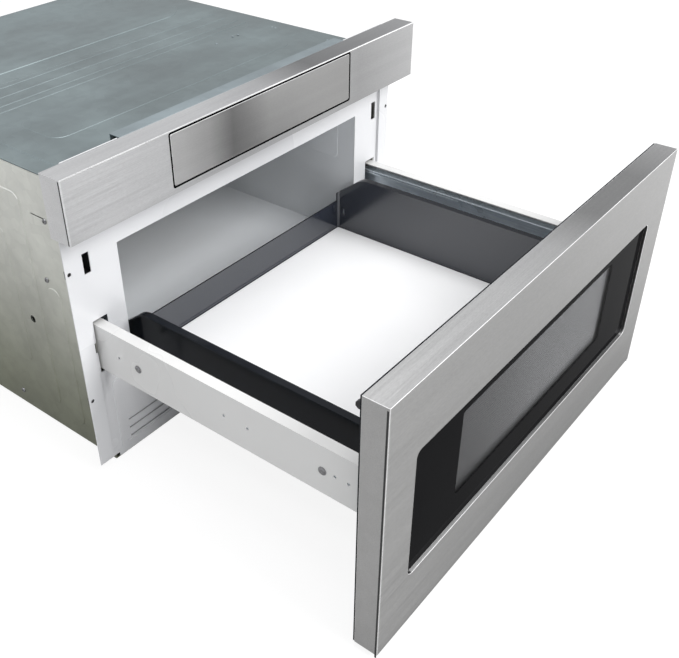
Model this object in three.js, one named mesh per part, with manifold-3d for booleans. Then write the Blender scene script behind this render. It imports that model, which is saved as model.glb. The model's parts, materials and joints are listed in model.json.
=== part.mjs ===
// A built-in microwave drawer, modelled with the drawer fully open.
// Millimetres, +Z up. +X is the right-hand side seen from the front, and the drawer opens towards -Y.
// Inside the groups y = 0 is the front face of the control panel and z = 0 the underside of the base pan.

import * as THREE from "three";
import { mergeVertices } from "three/addons/utils/BufferGeometryUtils.js";
import Module from "manifold-3d";

const wasm = await Module();
wasm.setup();

// ---------------------------------------------------------------- driving dimensions

// clearances
const seat = 0.3; // between pieces that rest on each other
const running = 0.4; // between the nested slide members

// overall casing
const overallHeight = 403.2;
const panelWidth = 606.4; // control panel and drawer front
const casingWidth = 538;
const casingBack = 566; // from the panel's front face to the back panel's outer face
const casingDrop = 30; // casing top below the control panel's top
const sheet = 1.2; // pressed steel sheet
const baseSheet = 1.5;
const baseWallHeight = 25;
const baseBeads = [120, 290, 425]; // stiffening beads across the base pan
const baseBeadWidth = 18;
const baseBeadHeight = 1.4;
const baseBeadMargin = 40;
const baseVentCount = 5; // slots on each side
const baseVentPitch = 14;
const baseVentWidth = 6;
const baseVentLength = 70;
const baseVentInner = 40;
const baseVentFront = 360;

// control panel and flap
const panelHeight = 72.2;
const panelDepth = 30.3;
const flapGap = 2.6;
const flapOpeningWidth = 319.8;
const flapOpeningHeight = 64.3;
const flapCorner = 3;
const flapPlate = 0.8;
const flapDepth = 8; // plate and carrier
const flapPinRadius = 1.2;
const flapPinInset = 3; // pin axis behind the front face
const flapPinRise = 2.2; // pin axis above the flap's lower edge
const flapPinLength = 3;
const touchGlassThickness = 2;
const touchGlassMargin = 6;
const housingWall = 2;
const housingClearance = 1.2; // between flap and housing side walls
const housingPosts = [-126, 0, 126];
const housingPostInset = 14;
const housingPostRadius = 3;
const boardThickness = 1.6;
const boardStandoff = 4;
const boardInset = 10; // from the flap's ends
const boardRise = 4; // above the flap opening's lower edge
const boardTopGap = 2;
const chipPlaces = [-100, -45, 20, 75];
const chipWidth = 22;
const chipHeight = 18;
const chipDepth = 2.5;
const chipRise = 16; // above the board's lower edge

// bracket behind the panel's top edge
const topBracketLeft = 199;
const topBracketRight = 186;
const topBracketDepth = 16.4;
const topBracketFoot = 10;

// front frame
const frameFace = 34.3;
const frameTopDrop = 1.7; // frame top below the panel's top
const frameBottomRise = 2;
const foldHalf = 275;
const cornerNotchWidth = 13; // cut from the lower corners
const cornerNotchHeight = 6;
const flangeHalf = 294.5;
const flangeBottom = 11.4;
const flangeAbovePanelEdge = 30; // how far the flange runs up behind the panel
const latchSlotInner = 258.8;
const latchSlotWidth = 9.2;
const latchSlotDrop = 36.9; // slot top below the control panel
const latchSlotHeight = 25.4;
const railSlotInner = 247.6;
const railSlotOuter = 268.7;
const railSlotMargin = 5; // above and below the channel
const railNotchOuter = 273;
const railNotchHeight = 14;
const louvreCount = 3;
const louvrePitch = 12.8;
const louvreHeight = 3;
const louvreLength = 150;
const louvreHoodDepth = 1.2;
const louvreOuter = 241;
const louvreLowest = 20;
const flangeHoleX = 289.6;
const flangeHoleRadius = 2.6;
const flangeHoleDrops = [50.3, 221.7]; // below the control panel
const lowerBeadMargin = 16;
const lowerBeadWidth = 7;
const lowerBeadHeight = 0.8;

// oven cavity
const cavityHalf = 220;
const cavityTopDrop = 43.8; // cavity ceiling below the control panel
const cavityHeight = 187;
const cavityDepth = 411; // from the frame's front face to the liner's back wall
const linerFlange = 12;
const linerPadFrom = 64;
const linerPadLength = 51;
const linerPadHeight = 56;
const linerPadDrop = 15; // below the cavity's ceiling
const linerPadProud = 0.5;
const domeHalfX = 110;
const domeLength = 180;
const domeCentreY = 240;
const domeRise = 18;

// drawer
const drawerTravel = 381.9;
const drawerGap = 7.9; // between the control panel and the drawer front
const drawerBottomRise = 7.1;
const drawerFrontDepth = 27.5;
const windowHalf = 256;
const windowAboveEdge = 80.9; // drawer front's top edge to the window's
const windowHeight = 163;
const windowCorner = 8;
const windowLip = 3;
const glassThickness = 4;
const glassOverlap = 8;
const viewHalf = 168;
const viewAboveEdge = 96.9;
const viewHeight = 108;
const screenOverlap = 6;
const screenThickness = 1;
const innerPanelInset = 0.6;
const innerPanelThickness = 1.5;
const innerGlassOverlap = 6;
const innerGlassThickness = 3;
const chokeThickness = 4;
const chokeHalf = 244;
const chokeAboveCavity = 26;
const chokeBelowCavity = 14;
const frontSealGap = 0.4; // choke cover to the front frame's beads with the drawer shut

// tray
const trayHalf = 210.5;
const trayWall = 2;
const trayFloorDrop = 5.5; // tray underside above the cavity floor
const trayFloorThickness = 2;
const traySideHeight = 94; // underside to the side walls' top
const trayHemHalf = 217.5; // outer edge of the hem that turns outward along the side walls' top
const trayHemThickness = 2;
const trayBackHeight = 49.5; // underside to the back wall's top
const trayBackGap = 8; // to the cavity's back wall with the drawer shut
const trayShoulderLength = 52; // sloping rear end of the side walls
const trayShoulderRadius = 26;
const trayRearStep = 12; // upright step above the back wall
const trayRearChamfer = 1.5;
const traySlotAhead = 9.4; // slot in the side walls, ahead of the tray's rear end
const traySlotWidth = 4;
const traySlotHeight = 12;
const traySlotLow = 26; // above the tray's underside
const trayCorner = 4;
const trayFrontLip = 4;
const ceramicThickness = 4;
const ceramicGap = 1;
const ceramicRim = 3; // lowered rim round the plate
const ceramicRimDrop = 0.8;

// channels and telescopic slides
const channelOuter = 266.5;
const channelWidth = 13.5;
const channelHeight = 61.2;
const channelTopDrop = 84.4; // below the cavity ceiling
const channelRear = 85; // rear end behind the panel's front face, drawer open
const slideLength = 400;
const slideStart = 71; // front end of the cabinet members
const slideHeight = 42;
const slideSheet = 1.5;
const slideReach = 11.5; // depth of the drawer member across the channel
const slideNest = 1; // extra room between the members' flanges, where the balls run
const midMemberLip = 0.6;
const drawerMemberGap = 3; // drawer member's front end to the drawer front
const channelHoleRadius = 1.8;
const channelHoles = [0, -158, -190.5, -301, -317.1]; // from the panel's face, drawer open
const channelTabReach = 8;
const channelTabHeight = 14;
const channelTabBury = 1;
const railBracketSheet = 1.5;
const railBracketFront = 92;
const railBracketFoot = 14;
const railWindows = [150, 280, 400]; // middles of the bracket's lightening windows
const railWindowLength = 90;
const railWindowRise = 30;
const railWindowTopGap = 24; // below the cabinet member
const railWindowCorner = 10;

// drive: rack in the right channel, pinion on an upright shaft
const gearModule = 1.5;
const pinionTeeth = 16;
const pinionY = 70;
const gearBacklash = 0.6;
const gearThickness = 6.5;
const rackPitchX = 256;
const pinionShaftRadius = 3;
const pinionHubRadius = 6;
const pinionHubDrop = 1.4; // hub face below the teeth
const pinionShaftReach = 14;
const gearRise = 0.6; // teeth above the channel's lower wall
const gearboxGap = 1.6; // gearbox below the channel
const gearboxBore = 16;
const motorEndRadius = 4;
const motorEndLength = 3;
const motorLegGap = 1; // bracket leg to the cavity wall
const motorFoot = 16;
const gearboxRadius = 15;
const gearboxHeight = 24;
const motorRadius = 12;
const motorHeight = 42;
const motorBracketSheet = 1.5;

// latch
const hookThickness = 5;
const hookX = 264;
const hookLength = 30;
const hookHeight = 6;
const hookNose = 3.4;
const hookNoseLength = 10;
const hookTopDrop = 15.5; // hook top below the slot's
const hookLeadIn = 3; // chamfer at the hook's tip
const hookRoot = [4, 6]; // gusset under the hook where it leaves the drawer front
const receiverWall = 2.5;
const receiverDepth = 48;
const switchWidth = 14; // switch body on the receiver's inner side
const terminalCount = 3;
const terminalPitch = 12;
const terminalStart = 8;
const terminalLength = 6;
const terminalThickness = 1;

// microwave source and cooling
const waveguideLeft = -100;
const waveguideWidth = 90;
const waveguideHeight = 36;
const waveguideFront = 190;
const waveguideBackGap = 10;
const portMargin = 8; // waveguide walls to the port into the cavity
const portLength = 76;
const antennaBackGap = 52;
const antennaRadius = 8;
const antennaReach = 22; // into the waveguide
const antennaHoleGap = 2;
const magnetronWidth = 80;
const magnetronDepth = 68;
const magnetronHeight = 92;
const magnetronBand = 3; // thickness of the magnet yoke's bands
const filterBoxHeight = 27;
const filterBoxWidth = 64;
const filterBoxDepth = 52;
const anodeRadius = 18;
const finCount = 7;
const finDepth = 58;
const finThickness = 1;
const finMargin = 8; // first and last fin to the yoke's bands
const socketReach = 10; // plug socket on the filter box
const socketWidth = 18;
const socketHeight = 10;
const socketRise = 7;
const stirrerX = 52;
const stirrerRadius = 48;
const stirrerHubRadius = 8;
const stirrerRise = 3; // hub above the cavity ceiling
const paddleCount = 3;
const paddleRise = 6; // paddles above the hub's lower face
const paddleThickness = 1;
const paddleStep = 6; // each paddle is this much shorter than the one before
const paddleRootHalf = 6;
const paddleEndHalf = 15;
const paddleTipHalf = 8;
const stirrerShaftReach = 14; // above the dome
const stirrerShaftRadius = 3;
const stirrerMotorRadius = 24;
const stirrerMotorHeight = 20;
const stirrerMotorBore = 15;
const stirrerLugReach = 8;
const stirrerLugHalf = 6;
const stirrerLugThickness = 1.5;
const stirrerCoverOverlap = 7;
const stirrerCoverThickness = 1.5;
const transformerLength = 96;
const transformerWidth = 84;
const transformerHeight = 78;
const transformerX = -168;
const transformerLeg = 17; // width of the core's legs
const transformerBackGap = 30;
const coilOverhang = 14; // coil past the core, front and back
const coreFoot = 10;
const coreFootThickness = 2;
const capacitorX = -75;
const capacitorLength = 54;
const capacitorWidth = 34;
const capacitorHeight = 82;
const capacitorTabs = [-10, 10];
const capacitorTabWidth = 6;
const capacitorTabThickness = 0.8;
const capacitorTabHeight = 12;
const fanX = 140;
const fanSize = 120;
const fanDepth = 38;
const fanDrop = 183.2; // fan axis below the casing's top
const fanRingWall = 4;
const fanHubRadius = 22;
const fanBladeCount = 7;
const fanTipGap = 2;
const fanCorner = 6;
const fanMotorDepth = 12;
const fanAxleRadius = 2;
const fanStrutHeight = 5;
const fanStrutDepth = 3;
const fanHubGap = 1; // fan hub to the fan motor
const fanBackGap = 4; // fan hub to the back panel
const grilleSlotPitch = 11;
const grilleSlotHeight = 5;

// cord gland in the back panel
const glandX = -230;
const glandZ = 40;
const glandRadius = 8;
const glandTail = 9; // behind the back panel
const glandReach = 12; // in front of the back panel's inner face
const glandBore = 3.6;
const glandFlange = 3; // wider than the hole, on each side
const glandFlangeThickness = 2;
const glandTailWall = 2;

// back panel pressing
const backPadMargin = 30;
const backPadFanGap = 20;
const backPadRise = 60; // above the underside and below the casing's top
const backPadCorner = 16;
const backPadHeight = 0.8;
const grilleRim = 2;

// side panel pressings
const sideBeadHeight = 1; // drops are measured from the casing's top
const sideSlots = [
  { front: 86, width: 24, low: 24, drop: 146.2 },
  { front: 43, width: 23, low: 19, drop: 152.2 },
];
const sideSlits = [
  { front: 88, length: 24, drop: 55.2 },
  { front: 49, length: 31, drop: 75.2 },
];
const sideSlitHeight = 1.4;
const sidePadFront = 129;
const sidePadLow = 37;
const sidePadDrop = 36.2;
const sidePadCorner = 12;
const sidePadRearMargin = 28;
const sideInnerPadInset = 42;
const sideInnerPadLow = 87;
const sideInnerPadDrop = 92.2;
const drainHoleFront = 146;
const drainHoleWidth = 9;
const drainHoleHeight = 10;
const drainHoleDrop = 205.2;

// top cover pressings
const topSeam = 326;
const topOverlap = 17;
const topPadHalf = 246;
const topPadFront = 62;
const topPadBack = 215;
const topPadHeight = 1;
const topPadCorner = 18;
const topInnerPadHalf = 205;
const topInnerPadFront = 132;
const topInnerPadBack = 205;
const topInnerPadHeight = 0.5;
const topBeads = [248, 264, 288, 314];
const topBeadHalf = 239;
const topBeadWidth = 5;
const topBeadHeight = 0.5;
const topRearPadMargin = 30;
const topRearPadCorner = 60;

// ---------------------------------------------------------------- values that follow

const casingHalf = casingWidth / 2;
const casingTop = overallHeight - casingDrop;
const panelHalf = panelWidth / 2;
const panelBottom = overallHeight - panelHeight;
const frameBack = frameFace + sheet;
const wallFront = frameBack + seat; // casing sheets butt against the frame here
const sideInner = casingHalf - sheet;
const flangeFace = panelDepth + seat;
const drawerTop = panelBottom - drawerGap;
const drawerBottom = drawerBottomRise;
const windowTop = drawerTop - windowAboveEdge;
const windowBottom = windowTop - windowHeight;
const viewTop = drawerTop - viewAboveEdge;
const viewBottom = viewTop - viewHeight;
const cavityTop = panelBottom - cavityTopDrop;
const cavityFloor = cavityTop - cavityHeight;
const cavityBack = frameFace + cavityDepth;
const linerTop = cavityTop + sheet;
const domeTop = cavityTop + domeRise + sheet;
const latchSlotTop = panelBottom - latchSlotDrop;
const hookTop = latchSlotTop - hookTopDrop;
const channelTop = cavityTop - channelTopDrop;
const channelBottom = channelTop - channelHeight;
const slideCentre = (channelTop + channelBottom) / 2;
const channelInner = channelOuter - channelWidth;
const channelWallInner = channelOuter - sheet;
const innerPanelFront = drawerFrontDepth + seat;
const innerPanelBack = innerPanelFront + innerPanelThickness;
const carriedFrom = innerPanelBack + seat; // tray, channels, choke and hooks start here
const trayBottom = cavityFloor + trayFloorDrop;
const trayBack = cavityBack - trayBackGap;
const baseTop = baseSheet;
const casingBackInner = casingBack - sheet;
const fanZ = casingTop - fanDrop;

// ---------------------------------------------------------------- solids

function solid(geometry) {
  const bare = geometry.clone();
  bare.deleteAttribute("normal");
  bare.deleteAttribute("uv");
  const merged = mergeVertices(bare, 1e-4);
  const mesh = new wasm.Mesh({
    numProp: 3,
    vertProperties: merged.attributes.position.array,
    triVerts: new Uint32Array(merged.index.array),
  });
  return new wasm.Manifold(mesh);
}

function join(first, ...others) {
  return others.reduce((sum, other) => sum.add(other), first);
}

function cut(first, ...others) {
  return others.reduce((rest, other) => rest.subtract(other), first);
}

function block([x0, x1], [y0, y1], [z0, z1]) {
  const geometry = new THREE.BoxGeometry(x1 - x0, y1 - y0, z1 - z0);
  geometry.translate((x0 + x1) / 2, (y0 + y1) / 2, (z0 + z1) / 2);
  return solid(geometry);
}

// The three turns that lay an outline's extrusion along an axis:
// outlines are (y, z) along X, (x, z) along Y and (x, y) along Z.
const turns = {
  x: new THREE.Matrix4().set(0, 0, 1, 0, 1, 0, 0, 0, 0, 1, 0, 0, 0, 0, 0, 1),
  y: new THREE.Matrix4().set(1, 0, 0, 0, 0, 0, -1, 0, 0, 1, 0, 0, 0, 0, 0, 1),
  z: new THREE.Matrix4(),
};

function placed(geometry, axis, from, to) {
  geometry.applyMatrix4(turns[axis]);
  const start = axis === "y" ? to : from;
  const shift = new THREE.Vector3();
  shift[axis] = start;
  geometry.translate(shift.x, shift.y, shift.z);
  return solid(geometry);
}

function prism(axis, shape, [from, to], curveSegments = 6) {
  const options = { depth: to - from, bevelEnabled: false, curveSegments };
  return placed(new THREE.ExtrudeGeometry(shape, options), axis, from, to);
}

// A pressed pad: an outline with sloping edges that stands `height` proud of the face at `face`,
// towards `side` (+1 or -1 along the axis). Its lower half lies inside the sheet.
function pad(axis, shape, face, height, side = 1) {
  const flat = 0.1;
  const options = {
    depth: flat,
    bevelEnabled: true,
    bevelThickness: height,
    bevelSize: height,
    bevelOffset: -height,
    bevelSegments: 1,
    curveSegments: 5,
  };
  const crest = face + side * height;
  const far = crest - side * (flat + 2 * height);
  const from = Math.min(crest, far) + height;
  return placed(new THREE.ExtrudeGeometry(shape, options), axis, from, from + flat);
}

function rod(axis, [a, b], radius, [from, to], sides = 20) {
  const geometry = new THREE.CylinderGeometry(radius, radius, to - from, sides);
  geometry.translate(0, (from + to) / 2, 0);
  if (axis === "x") geometry.rotateZ(-Math.PI / 2).translate(0, a, b);
  if (axis === "y") geometry.translate(a, 0, b);
  if (axis === "z") geometry.rotateX(Math.PI / 2).translate(a, b, 0);
  return solid(geometry);
}

function outline(points) {
  return new THREE.Shape(points.map(([u, v]) => new THREE.Vector2(u, v)));
}

function roundedRect([u0, u1], [v0, v1], r) {
  const shape = new THREE.Shape();
  shape.moveTo(u0 + r, v0);
  shape.lineTo(u1 - r, v0);
  shape.absarc(u1 - r, v0 + r, r, -Math.PI / 2, 0);
  shape.lineTo(u1, v1 - r);
  shape.absarc(u1 - r, v1 - r, r, 0, Math.PI / 2);
  shape.lineTo(u0 + r, v1);
  shape.absarc(u0 + r, v1 - r, r, Math.PI / 2, Math.PI);
  shape.lineTo(u0, v0 + r);
  shape.absarc(u0 + r, v0 + r, r, Math.PI, 1.5 * Math.PI);
  return shape;
}

// A slot with round ends, long in v.
function uprightSlot([u0, u1], [v0, v1]) {
  const r = (u1 - u0) / 2;
  const shape = new THREE.Shape();
  shape.moveTo(u0, v0 + r);
  shape.absarc(u0 + r, v0 + r, r, Math.PI, 2 * Math.PI);
  shape.lineTo(u1, v1 - r);
  shape.absarc(u0 + r, v1 - r, r, 0, Math.PI);
  return shape;
}

// A slot with round ends, long in u.
function levelSlot([u0, u1], [v0, v1]) {
  const r = (v1 - v0) / 2;
  const shape = new THREE.Shape();
  shape.moveTo(u0 + r, v0);
  shape.lineTo(u1 - r, v0);
  shape.absarc(u1 - r, v0 + r, r, -Math.PI / 2, Math.PI / 2);
  shape.lineTo(u0 + r, v1);
  shape.absarc(u0 + r, v0 + r, r, Math.PI / 2, 1.5 * Math.PI);
  return shape;
}

function mirrored(part) {
  return part.mirror([1, 0, 0]);
}

// ---------------------------------------------------------------- materials

function material(color, roughness, metalness) {
  return new THREE.MeshStandardMaterial({ color, roughness, metalness });
}

const finishes = {
  stainless: material(0xb4b2b0, 0.34, 1),
  galvanised: material(0x8d9690, 0.45, 0.8),
  whitePaint: material(0xe9e9ec, 0.35, 0),
  cavityPaint: material(0xd6d9da, 0.4, 0),
  zinc: material(0xa9b4ba, 0.3, 1),
  blackGloss: material(0x17181b, 0.15, 0),
  blackPlastic: material(0x1c1c1d, 0.5, 0),
  blackGlass: material(0x0a0a0b, 0.05, 0),
  screen: material(0x5c5f63, 0.4, 0.5),
  ceramic: material(0xf4f4f7, 0.2, 0),
  mica: material(0xcfc9b8, 0.6, 0),
  board: material(0x2d5a3c, 0.6, 0),
  aluminium: material(0xc2c4c6, 0.35, 1),
  copper: material(0xa8683a, 0.4, 1),
  laminations: material(0x4b4d50, 0.5, 0.8),
  steel: material(0x9a9c9e, 0.4, 1),
  nylon: material(0xe6e2d4, 0.5, 0),
};

function addMesh(group, name, part, finish) {
  const source = part.getMesh();
  const geometry = new THREE.BufferGeometry();
  geometry.setAttribute("position", new THREE.BufferAttribute(source.vertProperties, 3));
  geometry.setIndex(new THREE.BufferAttribute(source.triVerts, 1));
  const faceted = geometry.toNonIndexed();
  faceted.computeVertexNormals();
  const mesh = new THREE.Mesh(faceted, finish);
  mesh.name = name;
  group.add(mesh);
}

function addPair(group, name, rightPart, finish) {
  addMesh(group, "right_" + name, rightPart, finish);
  addMesh(group, "left_" + name, mirrored(rightPart), finish);
}

const product = new THREE.Group();
const body = new THREE.Group();
const drawer = new THREE.Group();
const midSlides = new THREE.Group();
const flap = new THREE.Group();
product.add(body, drawer, midSlides, flap);

// ---------------------------------------------------------------- casing

function frontFrame() {
  const top = overallHeight - frameTopDrop;
  const plate = block([-foldHalf, foldHalf], [frameFace, frameBack], [frameBottomRise, top]);
  const flangeTop = panelBottom + flangeAbovePanelEdge;
  const flangeBack = flangeFace + sheet;
  const flange = join(
    block([foldHalf - sheet, flangeHalf], [flangeFace, flangeBack], [flangeBottom, flangeTop]),
    block([foldHalf - sheet, foldHalf], [flangeFace, frameBack], [flangeBottom, flangeTop]),
  );
  const mouth = block([-cavityHalf, cavityHalf], [0, cavityBack], [cavityFloor, cavityTop]);
  const latchSlot = block(
    [latchSlotInner, latchSlotInner + latchSlotWidth],
    [0, cavityBack],
    [latchSlotTop - latchSlotHeight, latchSlotTop],
  );
  const railSlot = join(
    block(
      [railSlotInner, railSlotOuter],
      [0, cavityBack],
      [channelBottom - railSlotMargin, channelTop + railSlotMargin],
    ),
    block(
      [railSlotInner, railNotchOuter],
      [0, cavityBack],
      [slideCentre - railNotchHeight / 2, slideCentre + railNotchHeight / 2],
    ),
  );
  const cornerNotch = block(
    [foldHalf - cornerNotchWidth, flangeHalf],
    [frameFace - 1, frameBack + 1],
    [0, frameBottomRise + cornerNotchHeight],
  );
  const screwHoles = flangeHoleDrops.map((drop) =>
    rod("y", [flangeHoleX, panelBottom - drop], flangeHoleRadius, [0, cavityBack], 12),
  );
  const louvreSlots = [];
  const louvreHoods = [];
  for (let row = 0; row < louvreCount; row++) {
    const low = louvreLowest + row * louvrePitch;
    const span = [louvreOuter - louvreLength, louvreOuter];
    louvreSlots.push(block(span, [0, cavityBack], [low, low + louvreHeight]));
    const hood = outline([
      [frameFace + seat, low + louvreHeight],
      [frameFace - louvreHoodDepth, low + louvreHeight],
      [frameFace + seat, low + louvreHeight + louvreHoodDepth],
    ]);
    louvreHoods.push(prism("x", hood, span));
  }
  const beadTop = cavityFloor + lowerBeadMargin;
  const beadShape = roundedRect(
    [louvreOuter - louvreLength - lowerBeadMargin, louvreOuter + lowerBeadMargin],
    [frameBottomRise + lowerBeadMargin / 2, beadTop],
    8,
  );
  beadShape.holes.push(
    roundedRect(
      [
        louvreOuter - louvreLength - lowerBeadMargin + lowerBeadWidth,
        louvreOuter + lowerBeadMargin - lowerBeadWidth,
      ],
      [frameBottomRise + lowerBeadMargin / 2 + lowerBeadWidth, beadTop - lowerBeadWidth],
      4,
    ),
  );
  const bead = prism("y", beadShape, [frameFace - lowerBeadHeight, frameFace + seat]);
  const added = [flange, bead, ...louvreHoods];
  const removed = [latchSlot, railSlot, cornerNotch, ...screwHoles, ...louvreSlots];
  const whole = join(plate, ...added, ...added.map(mirrored));
  return cut(whole, mouth, ...removed, ...removed.map(mirrored));
}

// Floor and side walls of the cavity, with a flange all round that meets the front frame.
function cavityWrapper() {
  const outer = block(
    [-cavityHalf - sheet, cavityHalf + sheet],
    [wallFront, cavityBack - seat],
    [cavityFloor - sheet, cavityTop - seat],
  );
  const flange = block(
    [-cavityHalf - linerFlange, cavityHalf + linerFlange],
    [wallFront, wallFront + sheet],
    [cavityFloor - linerFlange, cavityTop + linerFlange],
  );
  const hollow = block([-cavityHalf, cavityHalf], [0, cavityBack], [cavityFloor, cavityTop]);
  const padShape = roundedRect(
    [linerPadFrom, linerPadFrom + linerPadLength],
    [cavityTop - linerPadDrop - linerPadHeight, cavityTop - linerPadDrop],
    8,
  );
  const right = pad("x", padShape, cavityHalf, linerPadProud, -1);
  return join(cut(join(outer, flange), hollow), right, mirrored(right));
}

// The cavity's ceiling, drawn up into a dome for the stirrer.
function cavityCeiling() {
  const plate = block(
    [-cavityHalf - sheet, cavityHalf + sheet],
    [wallFront + sheet + seat, cavityBack - seat],
    [cavityTop, linerTop],
  );
  const dome = block(
    [-domeHalfX - sheet, domeHalfX + sheet],
    [domeCentreY - domeLength / 2 - sheet, domeCentreY + domeLength / 2 + sheet],
    [cavityTop, domeTop],
  );
  const domeHollow = block(
    [-domeHalfX, domeHalfX],
    [domeCentreY - domeLength / 2, domeCentreY + domeLength / 2],
    [cavityFloor, domeTop - sheet],
  );
  const shaftHole = rod(
    "z",
    [stirrerX, domeCentreY],
    stirrerShaftRadius + seat,
    [cavityTop, overallHeight],
    16,
  );
  return cut(join(plate, dome), domeHollow, waveguidePort(), shaftHole);
}

function cavityBackWall() {
  return block(
    [-cavityHalf - sheet, cavityHalf + sheet],
    [cavityBack, cavityBack + sheet],
    [cavityFloor - sheet, linerTop],
  );
}

function waveguidePort() {
  return block(
    [waveguideLeft + portMargin, waveguideLeft + waveguideWidth - portMargin],
    [waveguideFront + portMargin, waveguideFront + portMargin + portLength],
    [cavityTop + seat, domeTop + seat + sheet + 1],
  );
}

function basePan() {
  const half = sideInner - seat;
  const back = casingBackInner - seat;
  const outer = block([-half, half], [wallFront, back], [0, baseWallHeight]);
  const inner = block(
    [-half + sheet, half - sheet],
    [0, back - sheet],
    [baseTop, baseWallHeight + 1],
  );
  const beadSpan = [-half + baseBeadMargin, half - baseBeadMargin];
  const beads = baseBeads.map((y) => {
    const shape = levelSlot(beadSpan, [y - baseBeadWidth / 2, y + baseBeadWidth / 2]);
    return pad("z", shape, baseTop, baseBeadHeight);
  });
  const vents = [];
  for (let column = 0; column < baseVentCount; column++) {
    const x = baseVentInner + column * baseVentPitch;
    const shape = uprightSlot(
      [x, x + baseVentWidth],
      [baseVentFront, baseVentFront + baseVentLength],
    );
    vents.push(prism("z", shape, [-1, baseTop + 1]));
  }
  return cut(join(cut(outer, inner), ...beads), ...vents, ...vents.map(mirrored));
}

function sidePanel() {
  const bottom = frameBottomRise;
  const top = casingTop - sheet - seat;
  const plate = block([sideInner, casingHalf], [wallFront, casingBack], [bottom, top]);
  const slots = sideSlots.map(({ front, width, low, drop }) => {
    const shape = uprightSlot([front, front + width], [low, casingTop - drop]);
    return pad("x", shape, casingHalf, sideBeadHeight);
  });
  const rear = casingBack - sidePadRearMargin;
  const bigPad = pad(
    "x",
    roundedRect([sidePadFront, rear], [sidePadLow, casingTop - sidePadDrop], sidePadCorner),
    casingHalf,
    sideBeadHeight,
  );
  const innerPad = pad(
    "x",
    roundedRect(
      [sidePadFront + sideInnerPadInset, rear - sideInnerPadInset],
      [sideInnerPadLow, casingTop - sideInnerPadDrop],
      sidePadCorner,
    ),
    casingHalf + sideBeadHeight,
    sideBeadHeight / 2,
  );
  const slits = sideSlits.map(({ front, length, drop }) => {
    const low = casingTop - drop;
    const shape = levelSlot([front, front + length], [low, low + sideSlitHeight]);
    return prism("x", shape, [0, panelHalf], 3);
  });
  const holeTop = casingTop - drainHoleDrop;
  const drainHole = prism(
    "x",
    uprightSlot(
      [drainHoleFront, drainHoleFront + drainHoleWidth],
      [holeTop - drainHoleHeight, holeTop],
    ),
    [0, panelHalf],
  );
  return cut(join(plate, ...slots, bigPad, innerPad), ...slits, drainHole);
}

function backPanel() {
  const half = sideInner - seat;
  const top = casingTop - sheet - seat;
  const plate = block([-half, half], [casingBackInner, casingBack], [frameBottomRise, top]);
  const grille = [];
  const rows = Math.floor(fanSize / 2 / grilleSlotPitch);
  for (let row = -rows; row <= rows; row++) {
    const offset = row * grilleSlotPitch;
    const reach = fanSize / 2 - fanRingWall;
    const chord = Math.sqrt(Math.max(0, reach ** 2 - offset ** 2)) - grilleRim;
    if (chord < grilleSlotHeight) continue;
    const low = fanZ + offset - grilleSlotHeight / 2;
    const slot = levelSlot([fanX - chord, fanX + chord], [low, low + grilleSlotHeight]);
    grille.push(prism("y", slot, [casingBackInner - 1, casingBack + 1]));
  }
  const panelPad = pad(
    "y",
    roundedRect(
      [-half + backPadMargin, fanX - fanSize / 2 - backPadFanGap],
      [backPadRise, top - backPadRise],
      backPadCorner,
    ),
    casingBack,
    backPadHeight,
  );
  const glandHole = rod("y", [glandX, glandZ], glandRadius + seat, [0, casingBack + 10], 16);
  return cut(join(plate, panelPad), ...grille, glandHole);
}

// A cord gland: a flanged bush that tapers towards the cord, with a bore for it.
function cordGland() {
  const flangeFrom = sheet + seat;
  const tail = sheet + glandTail;
  const profile = [
    [glandBore, -glandReach],
    [glandRadius, -glandReach],
    [glandRadius, flangeFrom],
    [glandRadius + glandFlange, flangeFrom],
    [glandRadius + glandFlange, flangeFrom + glandFlangeThickness],
    [glandBore + glandTailWall, tail],
    [glandBore, tail],
  ];
  const points = profile.map(([r, h]) => new THREE.Vector2(r, h));
  points.push(points[0].clone());
  const geometry = new THREE.LatheGeometry(points, 16);
  geometry.translate(glandX, casingBackInner, glandZ);
  return solid(geometry);
}

function topCoverFront() {
  const plate = block([-casingHalf, casingHalf], [wallFront, topSeam], [casingTop - sheet, casingTop]);
  const outerPad = pad(
    "z",
    roundedRect([-topPadHalf, topPadHalf], [topPadFront, topPadBack], topPadCorner),
    casingTop,
    topPadHeight,
  );
  const innerPad = pad(
    "z",
    roundedRect(
      [-topInnerPadHalf, topInnerPadHalf],
      [topInnerPadFront, topInnerPadBack],
      topPadCorner,
    ),
    casingTop + topPadHeight,
    topInnerPadHeight,
  );
  const beads = topBeads.map((y) => {
    const shape = levelSlot([-topBeadHalf, topBeadHalf], [y, y + topBeadWidth]);
    return pad("z", shape, casingTop, topBeadHeight);
  });
  return join(plate, outerPad, innerPad, ...beads);
}

// Level with the front cover, with a joggled tongue that runs in under it.
function topCoverRear() {
  const front = topSeam + seat;
  const tongueTop = casingTop - sheet - seat;
  const tongueHalf = sideInner - seat;
  const tongue = block(
    [-tongueHalf, tongueHalf],
    [topSeam - topOverlap, front + sheet],
    [tongueTop - sheet, tongueTop],
  );
  const step = block([-tongueHalf, tongueHalf], [front, front + sheet], [tongueTop - sheet, casingTop]);
  const plate = block([-casingHalf, casingHalf], [front, casingBack], [casingTop - sheet, casingTop]);
  const panelPad = pad(
    "z",
    roundedRect(
      [-casingHalf + topRearPadMargin, casingHalf - topRearPadMargin],
      [front + topRearPadMargin, casingBack - topRearPadMargin],
      topRearPadCorner,
    ),
    casingTop,
    topPadHeight,
  );
  return join(tongue, step, plate, panelPad);
}

function topBracket() {
  const span = [-topBracketLeft, topBracketRight];
  const back = flangeFace + topBracketDepth;
  return join(
    block(span, [flangeFace, back], [overallHeight - sheet, overallHeight]),
    block(span, [back - sheet, back], [casingTop + seat, overallHeight]),
    block(span, [back - sheet, back + topBracketFoot], [casingTop + seat, casingTop + seat + sheet]),
  );
}

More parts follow.
